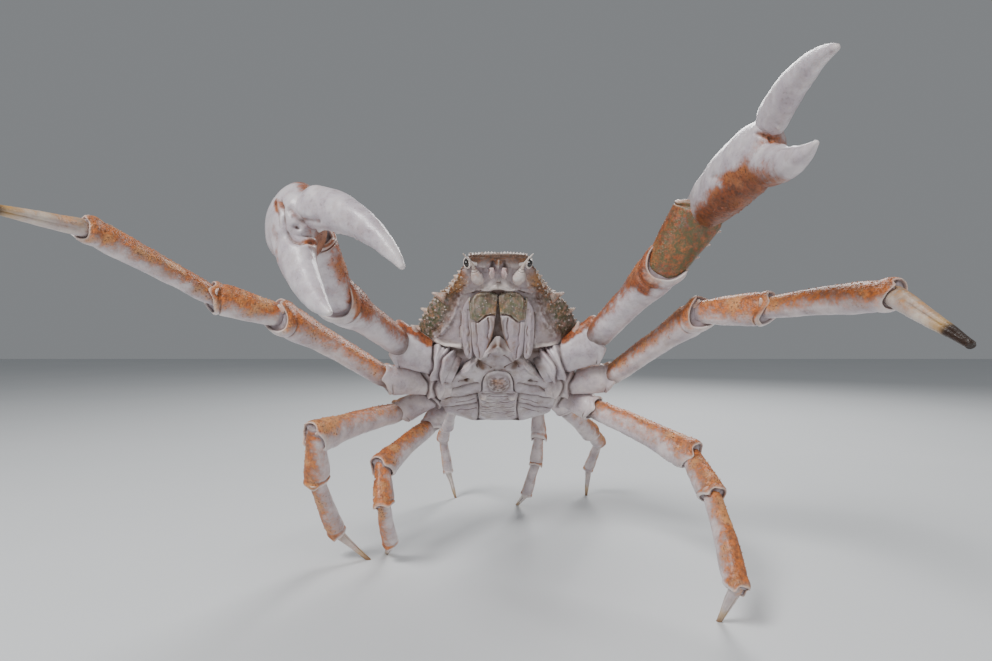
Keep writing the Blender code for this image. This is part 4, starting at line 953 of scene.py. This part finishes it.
def segment_marks(pair, segment, left, s, spin, facing, folds, mm, seed):
    """The masks that colour a limb segment, from its root to the rim of its cup."""
    pale = 0.45 * soft_step(0.95, 0.985, s) * soft_step(0.3, -0.4, facing)
    beads = soft_step(0.25, 0.8, facing) * soft_step(0.12, 0.2, s) * soft_step(0.97, 0.93, s)
    marks = {"along": s, "rim": pale, "beads": beads}
    least, rust = -1.0, RUST_SHARE[segment]
    if segment == "hip":
        keel = soft_step(0.45, 0.6, s) * soft_step(0.86, 0.99, facing + 0.05 * swell(mm, 5.0, seed + 6))
        rust = np.clip(keel * (1.15 if pair == 1 else 0.4), 0, 1.3) - 0.6 * np.clip(facing, 0, 1)
        # Painted shadow: the upper side of the hip near the body is darkened, and its folds carry brown lines that are
        # partly painted shade in the creases.
        marks["stain_and_shade"] = 0.85 * folds + 0.8 * soft_step(0.24, 0.04, s) * soft_step(-0.1, 0.7, np.sin(spin))
    elif segment == "dactyl":
        marks["beads"] = 0.0
    else:
        rust = rust + (0.34 if pair > 2 else 0.08) + soft_step(0.78, 0.98, s) * (0.42 + 0.45 * facing)
        skin_end = (0.20, 0.15) if (pair, segment) == (2, "carpus") else (0.05, 0.015)
        marks["cup"] = soft_step(*skin_end, s)
        # Painted shadow: the narrow neck of the merus, partly brown as well, and the root of the other segments where
        # it sits in the cup before it, are darkened.
        if segment == "merus":
            marks["stain_and_shade"] = 0.9 * soft_step(*((0.36, 0.22) if pair == 1 else (0.22, 0.10)), s)
        else:
            marks["stain_and_shade"] = 0.35 * soft_step(0.14, 0.06, s)
    if (pair, segment) == (1, "merus"):
        rust = rust + 0.6 * soft_step(0.70, 0.84, s) * soft_step(-0.7, 0.3, facing)
        if left:
            band = soft_step(0.74, 0.82, s + 0.02 * swell(mm, 6.0, seed + 7))
            least, rust = 1.25 * band * soft_step(-1.0, -0.5, facing) - 1.0, rust + 0.5 * band
    elif (pair, segment, left) == (1, "carpus", True):
        # Painted shade: the left claw's carpus gets extra rust and dark green growth, weaker on the face that claw_face
        # points to.
        least, rust = 0.1, rust + 0.9
        marks["moss"] = 0.95 * (1 - 0.6 * soft_step(0.0, 0.8, facing))
    marks["upper"] = np.clip(facing, least, 1.0)
    marks["rust"] = rust if segment == "hip" else np.clip(rust, 0, 1.3)
    return {key: np.broadcast_to(value, facing.shape) for key, value in marks.items()}


def segment_shells(pair, segment, start, end, depth, upper, seed, sides):
    """A limb segment with its cup, collar, knobs, spines and masks."""
    cupped = segment != "dactyl"
    axis = unit(end - start)
    first = start - axis * (HIP_INSET[pair] if segment == "hip" else depth * MM * HEAD_SHARE)
    last = end + axis * (depth * MM * RIM_SHARE if cupped else 0.0)
    side, rise = square_to(axis, upper)
    length, half = np.linalg.norm(last - first), depth * MM / 2.0
    s = np.linspace(0, 1, int(np.clip(length / 0.0009, 50, 130)))[:, None]
    form = SEGMENT_FORM[segment]
    size = from_table(form, s[:, 0])
    if (pair, segment) == (1, "merus"):
        size = size * (1 - 0.26 * soft_step(0.26, 0.06, s))
    if (pair, segment) == (1, "hip"):
        size = size * (1 + 0.08 * soft_step(0.75, 1.0, s))
    spin = turns(sides)[None, :]
    front = np.clip(-(side[1] * np.cos(spin) + rise[1] * np.sin(spin)), 0, 1) ** 2
    lobes = 0.0
    if cupped:
        crest = 0.30 if (pair, segment) == (1, "hip") else 0.08
        lobes = (0.17 * hump(np.sin(spin), 0.0, 0.34) - 0.22 * np.clip(-np.sin(spin), 0, 1) ** 2
                 + crest * np.clip(np.sin(spin), 0, 1) ** 3)
        if (pair, segment) == (2, "merus"):
            lobes = lobes - 0.30 * front
    circle = np.stack((2.2 * np.cos(spin), 2.2 * np.sin(spin), 0 * spin), axis=-1)
    lobes = (lobes + 0.035 * swell(circle, 1.0, seed + 9)) * depth * MM
    run = s * length + lobes * soft_step(0.80, 1.0, s)
    bow = 0.012 * length * np.sin(np.pi * s) ** 2 if segment in ("merus", "propodus") else 0.0
    rings = (first + axis * run[..., None] + rise * (half * size * np.sin(spin) + bow)[..., None]
             + side * (half * size * WIDTH_SHARE * np.cos(spin))[..., None])
    mm = rings / MM
    lift = 0.45 * swell(mm, 11.0, seed) + 0.22 * swell(mm, 4.5, seed + 1)
    hollows = np.clip(np.cos(2 * spin + 0.6), 0, 1) * soft_step(0.1, 0.4, s) * soft_step(0.95, 0.6, s)
    lift = lift - 0.03 * depth * hollows
    folds = 0.0
    if segment == "hip":
        for seat, deep, thin, meet, bulge in HIP_FOLDS:
            gap = (s - seat * (meet + (1 - meet) * (0.5 + 0.5 * np.sin(spin))) - bulge * front
                   + 0.04 * swell(mm, 10.0, seed + 3))
            fade = 1.0 if deep > 2 else soft_step(-0.3, 0.3, swell(mm, 8.0, seed + 4))
            roll = 0.7 * hump(gap, -2.8 * thin, 2.0 * thin) - hump(gap, 0.0, thin)
            lift = lift + depth / 30.0 * deep * fade * roll
            folds = folds + hump(gap, 0.0, 1.2 * thin) * fade * min(deep / 3.0, 1.0)
        if pair == 1:
            lift = lift + 3.2 * soft_step(0.55, 0.95, s) * hump(spin, np.pi / 2, 0.30)
    elif segment == "dactyl":
        flutes = np.clip(np.cos(3 * spin), 0, 1) ** 3 * soft_step(0.1, 0.3, s) * soft_step(1.0, 0.8, s)
        lift = lift * 0.6 - 0.5 * flutes
    if cupped:
        lift = lift + sum(high * hump(s, place, width) for high, place, width in COLLAR) * depth / 24.0
    rings = rings + grid_normals(rings) * (lift * MM)[..., None]
    facing = np.sin(spin) + 0 * s
    if segment != "hip":
        claw_face = (0.6 * np.sign(BODY_PLACE[0] - start[0]), 0.5, 0.6)
        facing = grid_normals(rings) @ unit({1: claw_face, 2: (0.0, -0.35, 1.0)}.get(pair, upper))
    marks = segment_marks(pair, segment, end[0] > 0, s, spin, facing, folds, mm, seed)
    if cupped:
        edge, hub = rings[-1], rings[-1].mean(axis=0)
        rings = np.concatenate((rings, [hub + (edge - hub) * share - axis * depth * MM * back
                                        for share, back in CUP_WALL[:, :2]]))
        wall = {"rim": CUP_WALL[:, 2:3], "cup": CUP_WALL[:, 3:], "beads": 0.0}
        shape = (len(CUP_WALL), sides)
        marks = {key: np.concatenate((value, np.broadcast_to(wall.get(key, value[-1]), shape)))
                 for key, value in {"cup": np.zeros(facing.shape), **marks}.items()}
    else:
        rings[..., 2] = np.maximum(rings[..., 2], 0.0)
    shells = [shell_of(rings, marks)]
    if (pair, segment) in UPPER_SPINES:
        count, reach, radius, low, high = UPPER_SPINES[(pair, segment)]
        for share in np.linspace(low, high, count):
            base = first + (last - first) * share + rise * half * from_table(form, [share])[0, 0] * 0.96
            shells.append(thorn(base, rise + axis * 0.55, reach * MM, radius * MM * (0.8 if segment == "hip" else 0.55),
                                {"upper": 1.0, "rust": 0.8, "rim": 0.35}, 14))
    if segment in ("merus", "carpus") and pair < 4:
        for sign in (1.0, -1.0):
            base = last + side * sign * half * WIDTH_SHARE * 0.80 - axis * half * 0.1
            shells.append(thorn(base, axis, depth * MM * 0.20, depth * MM * 0.15,
                                {"upper": 1.0, "rust": 1.0, "rim": 0.4}, 16))
    return shells


leg_finish = shell_finish("leg_shell", (0.70, 0.61, 0.60, 1), (0.62, 0.17, 0.03, 1), (0.26, 0.085, 0.03, 1), 0.95,
                          (0.22, 0.50, 0.46), 0.0006)
tip_finish = shell_finish("leg_tip", (0.68, 0.58, 0.52, 1), (0.58, 0.20, 0.05, 1), (0.28, 0.11, 0.045, 1), 0.8,
                          (0.30, 0.40, 0.4), 0.0005, tip=(0.72, 0.98, (0.24, 0.12, 0.045, 1)))
dark_tip_finish = shell_finish("dark_leg_tip", (0.66, 0.56, 0.46, 1), (0.52, 0.25, 0.07, 1), (0.24, 0.13, 0.05, 1), 0.6,
                               (0.26, 0.30, 0.3), 0.0005, tip=(0.70, 0.80, (0.03, 0.016, 0.01, 1)))
claw_finish = shell_finish("claw_shell", (0.70, 0.64, 0.66, 1), (0.42, 0.10, 0.025, 1), (0.15, 0.042, 0.018, 1), 0.9,
                           (0.10, 0.52, 0.54), 0.0005, glow=(0.50, 0.165, 0.05, 1), moss=(0.10, 0.10, 0.04, 1),
                           film=0.22)
for pair in PAIRS:
    for hand, _ in SIDES:
        joints, upper = limb_joints(pair, hand)
        claw = pair == 1
        stem, slot = (f"claw_{hand}_", "claw_shell") if claw else (f"leg{pair}_{hand}_", "leg_shell")
        for k, segment in enumerate(SEGMENTS[:3] if claw else SEGMENTS):
            seed = pair * 40 + k * 5 + (hand == "left") * 17
            shells = segment_shells(pair, segment, joints[k], joints[k + 1], PAIRS[pair]["depth"][k], upper, seed,
                                    LIMB_SIDES if pair < 3 else SLIM_LIMB_SIDES)
            finish = claw_finish if claw else leg_finish
            if segment == "dactyl":
                finish = dark_tip_finish if pair == 2 else tip_finish
            piece = make_piece(stem + segment + "_shell", shells, finish)
            if segment in ("merus", "carpus", "propodus"):
                grow_beads(piece, slot, LIMB_BEAD, LIMB_BEAD_SPACING, seed, LIMB_BEAD_PALENESS)
            settle(piece, slot, stem + segment)

# The claws: a swollen palm drawn out into a fixed finger, and a curved finger hinged above it.
# Both fingers are bare white shell with a few blunt teeth, and the palm is blushed with rust round the hinge.
CLAW_FINGERS = {
    "left": {"fixed": (-94, 1), "movable": (-94, 1), "height": (0.05, 0.0, 1.0)},
    "right": {"fixed": (-52, -29), "movable": (-38, -32), "height": (0.30, -0.18, 0.90)},
}
PALM_SINK, PALM_END = 0.014, 0.96
PALM_GRAIN, PALM_EASING, FINGER_GRAIN, FINGER_EASING = 0.0008, 10, 0.0006, 8
# Palm and fingers: share of the length, half height and half width. The points that steer a finger are its reach
# along and its height above the hinge, and its teeth are a place along it, a reach and a radius.
PALM_FORM = ((0.0, 11, 9), (0.08, 16, 12.5), (0.28, 21, 15.5), (0.55, 24, 16.5), (0.80, 24, 15.5), (0.96, 20, 13))
REACH = {"movable": ((0, 12), (20, 21), (52, 30), (86, 20)), "fixed": ((-16, -7), (10, -14), (38, -27), (69, -20))}
FINGER_FORM = {
    "movable": ((0.0, 9, 7.5), (0.12, 12, 9), (0.35, 11, 8.5), (0.65, 7.8, 6.5), (0.88, 4.4, 3.8), (1.0, 1.8, 1.8)),
    "fixed": ((0.0, 12, 11), (0.3, 12.5, 10), (0.55, 10, 8), (0.75, 7.2, 6), (0.9, 4.4, 3.8), (1.0, 1.8, 1.8)),
}
TEETH = {"movable": ((0.26, 4.0, 3.4), (0.44, 2.4, 2.6), (0.62, 1.8, 2.2)),
         "fixed": ((0.42, 3.5, 3.2), (0.56, 2.4, 2.6), (0.70, 1.8, 2.2))}
RUST_AND_SHADE_FACE = {"left": (0.3, -0.7, -0.6), "right": (0.6, 0.8, 0.3)}
PALM_BLUSH = {"left": (), "right": ((((-95, -196, 273), (-91, -199, 256)), 5.0, 1.05),
                                    (((-97, -190, 289), (-90, -198, 283)), 3.4, 1.5))}
# Round each hinge: grooves, the button with its pit, and a tooth, as paths in the room in mm. Then come their
# width, height on the palm, rust on the palm, and depth in the finger. Most of their depth in the room is ignored.
HINGE_FORMS = {
    "right": (
        (((-93, -194, 289), (-89.5, -199, 284), (-88, -201, 277), (-87, -200.6, 270), (-85, -202, 266.4),
          (-82, -204, 264), (-78, -204, 262.9), (-73, -202.5, 262.8)), 1.4, -2.6, 0.8, 2.6),
        (((-84, -202, 281), (-78, -205, 276), (-66, -214, 273)), 1.9, -1.3, 0.8, 1.3),
        (((-80.6, -202, 271.6), (-79.4, -202, 271)), 4.6, 0.8, 0.0, 0.8),
        (((-97, -193, 287), (-92, -199, 280), (-91, -201, 272)), 1.2, -1.0, 0.8, 0.0),
        (((-74, -201, 264), (-70, -201, 262)), 2.4, 3.2, 0.35, 3.2),
        (((-80.8, -205, 271.8), (-80.4, -205, 271.6)), 1.3, -2.6, 0.8, 2.6)),
    "left": (
        (((190, -168, 336), (196, -172, 331), (196, -186, 324)), 1.2, -2.4, 0.8, 2.4),
        (((191, -176, 338), (196, -184, 336)), 3.0, 2.0, 0.0, 0.0),
        (((180, -120, 322), (186, -146, 313), (190, -160, 304)), 2.4, -1.2, 0.8, 1.2),
        (((197, -172, 327), (196, -190, 322)), 1.6, 1.4, 0.35, 0.0),
        (((184, -104, 305), (190, -130, 300)), 2.2, -1.0, 0.8, 0.0)),
}
NEARLY_FLAT = np.array((1.0, 0.3, 1.0))
HINGE_BUTTON, BUTTON_HALF = np.array((-80.4, -198.4, 271.0)), 6.4


def steered(points, share):
    """Places on the smooth curve that four points steer."""
    a, b, c, d = points
    t = np.asarray(share)[:, None]
    return a * (1 - t) ** 3 + b * 3 * t * (1 - t) ** 2 + c * 3 * t * t * (1 - t) + d * t ** 3


def flat_tube(centres, sizes, upper, sides):
    """Rings of an oval tube with its own height and width, rounded off at both ends."""
    tangents = unit(np.gradient(centres, axis=0))
    side, rise = square_to(tangents, upper)
    spin = turns(sides)[:, None]
    tall, wide = sizes[:, 0], sizes[:, 1]

    def ring(k, shrink=1.0, shift=0.0):
        oval = side[k] * wide[k] * np.cos(spin) + rise[k] * tall[k] * np.sin(spin)
        return centres[k] + tangents[k] * tall[k] * 0.75 * shift + oval * shrink

    steps = (0.5, 0.8, 0.95)
    foot = [ring(0, math.sqrt(1 - step * step), -step) for step in reversed(steps)]
    tip = [ring(-1, math.sqrt(1 - step * step), step) for step in steps]
    return np.array(foot + [ring(k) for k in range(len(centres))] + tip)


def finger_shells(which, hand, end):
    """One finger with its teeth, and the points that steer it."""
    axis = heading(*CLAW_FINGERS[hand][which])
    rise = np.array(CLAW_FINGERS[hand]["height"])
    rise = unit(rise - axis * (rise @ axis))
    points = [end + axis * along * MM + rise * high * MM for along, high in REACH[which]]
    share, form = np.linspace(0, 1, 90), FINGER_FORM[which]
    rings = flat_tube(steered(points, share), from_table(form, share) * MM, rise, 72)
    shells = [shell_of(rings, {"along": np.linspace(0, 1, len(rings))[:, None]})]
    inward = rise * (-1.0 if which == "movable" else 1.0)
    for place, reach, radius in TEETH[which]:
        base = steered(points, [place])[0] + inward * from_table(form, [place])[0, 0] * MM * 0.9
        shells.append(thorn(base, inward, reach * MM, radius * MM, {}, 18))
    return shells, points


def moulded(name, shells, finish, voxel, easing):
    """Skins grown together into one smooth shell."""
    piece = make_piece(name, shells, finish)
    mould = piece.modifiers.new("mould", "REMESH")
    mould.mode = "VOXEL"
    mould.voxel_size = voxel
    ease = piece.modifiers.new("ease", "SMOOTH")
    ease.factor = 0.6
    ease.iterations = easing
    mesh, old = plain_mesh(piece), piece.data
    piece.modifiers.clear()
    piece.data = mesh
    bpy.data.meshes.remove(old)
    mesh.polygons.foreach_set("use_smooth", [True] * len(mesh.polygons))
    if not mesh.materials:
        mesh.materials.append(finish)
    return piece


def reshape(mesh, lift, marks):
    """Moves a mesh out along its normals by the lift, in mm, and stores its masks."""
    moved = vectors_of(mesh.vertices, "co") + vectors_of(mesh.vertex_normals, "vector") * (lift * MM)[:, None]
    mesh.vertices.foreach_set("co", moved.ravel())
    for key in MARKS:
        store_mark(mesh, key, np.broadcast_to(marks.get(key, 0.0), len(mesh.vertices)))
    mesh.update()
    note_hollows(mesh, 5)


def seen_forms(places, hand):
    """How near each place is to each form round the hinge, as seen from the front."""
    return [raised(places * NEARLY_FLAT, np.multiply(row[0], NEARLY_FLAT), row[1]) for row in HINGE_FORMS[hand]]


for hand, _ in SIDES:
    wrist, end = limb_joints(1, hand)[0][3:]
    axis, finger_way = unit(end - wrist), heading(*CLAW_FINGERS[hand]["movable"])
    start = wrist - axis * PALM_SINK
    reach = np.linalg.norm(end - start)
    aim, height_way = unit(axis + finger_way), unit(CLAW_FINGERS[hand]["height"])
    steer = (start, start + axis * reach * 0.4, end - aim * reach * 0.35, end)
    share = np.linspace(0, PALM_END, 110)
    rings = flat_tube(steered(steer, share), from_table(PALM_FORM, share) * MM, height_way, 96)
    movable, finger_points = finger_shells("movable", hand, end)
    parts = [shell_of(rings)] + finger_shells("fixed", hand, end)[0]
    if hand == "right":
        angles = np.linspace(0, 6.1, 30)
        circle = np.stack((np.cos(angles), np.zeros(30), np.sin(angles)), axis=1)
        parts.append(shell_of([(HINGE_BUTTON + BUTTON_HALF * (math.cos(a) * circle + (0, math.sin(a), 0))) * MM
                               for a in np.linspace(-1.5, 1.5, 24)]))
    palm = moulded(f"claw_{hand}_palm_shell", parts, claw_finish, PALM_GRAIN, PALM_EASING)
    places = vectors_of(palm.data.vertices, "co") / MM
    hinge = (finger_points[0] + finger_points[1]) / 2 / MM
    side_way = np.cross(aim, height_way)
    knob = hinge + side_way * math.copysign(12.0, side_way[1]) - aim * 4
    under_knob = (knob - height_way * 9 - aim * 4, knob - height_way * 20 + aim * 2)
    seen = seen_forms(wavy(places, 0.8, 6.0, 95), hand)
    lift = (0.5 * swell(places, 12.0, 61) + 0.22 * swell(places, 4.5, 62)
            + relief(places, ((knob, 5.0, 1.8), (knob, 1.2, -1.4), (under_knob, 2.0, -1.0)))
            + sum(row[2] * near for near, row in zip(seen, HINGE_FORMS[hand])))
    blush = sum(row[3] * near for near, row in zip(seen, HINGE_FORMS[hand]))
    toward = (places - wrist / MM) @ axis / (reach / MM)
    # The palm's face along the rust direction gets more rust and stain. This is partly the palm's own red-brown and
    # partly painted shade on the face turned from the light.
    rust_and_shade_way = unit(RUST_AND_SHADE_FACE[hand])
    below = (places - start / MM) @ (rust_and_shade_way - axis * (rust_and_shade_way @ axis))
    facing = 0.6 * vectors_of(palm.data.vertex_normals, "vector") @ rust_and_shade_way + 0.035 * below
    shaded = soft_step(1.30, 0.60, toward) * soft_step(0.02, 0.14, toward) * soft_step(-0.5, 0.3, facing)
    reshape(palm.data, lift, {
        "upper": np.clip(facing, -0.15, 1) * soft_step(-0.05, 0.12, toward) * soft_step(1.35, 0.85, toward)
                 - 0.5 * soft_step(0.0, -0.1, toward),
        "moss": 0.4 * soft_step(0.3, 0.0, toward),
        "rust": 1.1 * shaded + 0.3 * hump(np.linalg.norm(places - hinge, axis=1), 0.0, 16.0) + np.clip(blush, 0, 1)
                + relief(places, PALM_BLUSH[hand]),
        "along": np.clip(toward, 0, 1),
        "beads": soft_step(0.5, 0.9, facing) * soft_step(0.8, 0.5, toward) * 0.5,
        "stain_and_shade": 0.45 * soft_step(1.5, 0.5, toward) * soft_step(0.0, 0.2, toward) * soft_step(-0.2, 0.7, facing)})
    grow_beads(palm, "claw_shell", 0.0006, 0.0024, 31, 0.1)
    settle(palm, "claw_shell", f"claw_{hand}_palm")
    finger = moulded(f"claw_{hand}_finger_shell", movable, claw_finish, FINGER_GRAIN, FINGER_EASING)
    places = vectors_of(finger.data.vertices, "co") / MM
    toward = (places - finger_points[0] / MM) @ finger_way / REACH["movable"][-1][0]
    seen = seen_forms(places, hand)
    lift = (0.35 * swell(places, 9.0, 63) + 0.15 * swell(places, 3.5, 64)
            - sum(row[4] * near for near, row in zip(seen, HINGE_FORMS[hand])))
    seams = np.max([near for near, row in zip(seen, HINGE_FORMS[hand]) if row[2] < 0], axis=0)
    reshape(finger.data, lift, {"upper": -0.2, "rust": 0.6 * soft_step(0.16, 0.0, toward) + 0.8 * seams,
                                "along": np.clip(toward, 0, 1)})
    settle(finger, "claw_shell", f"claw_{hand}_dactyl")
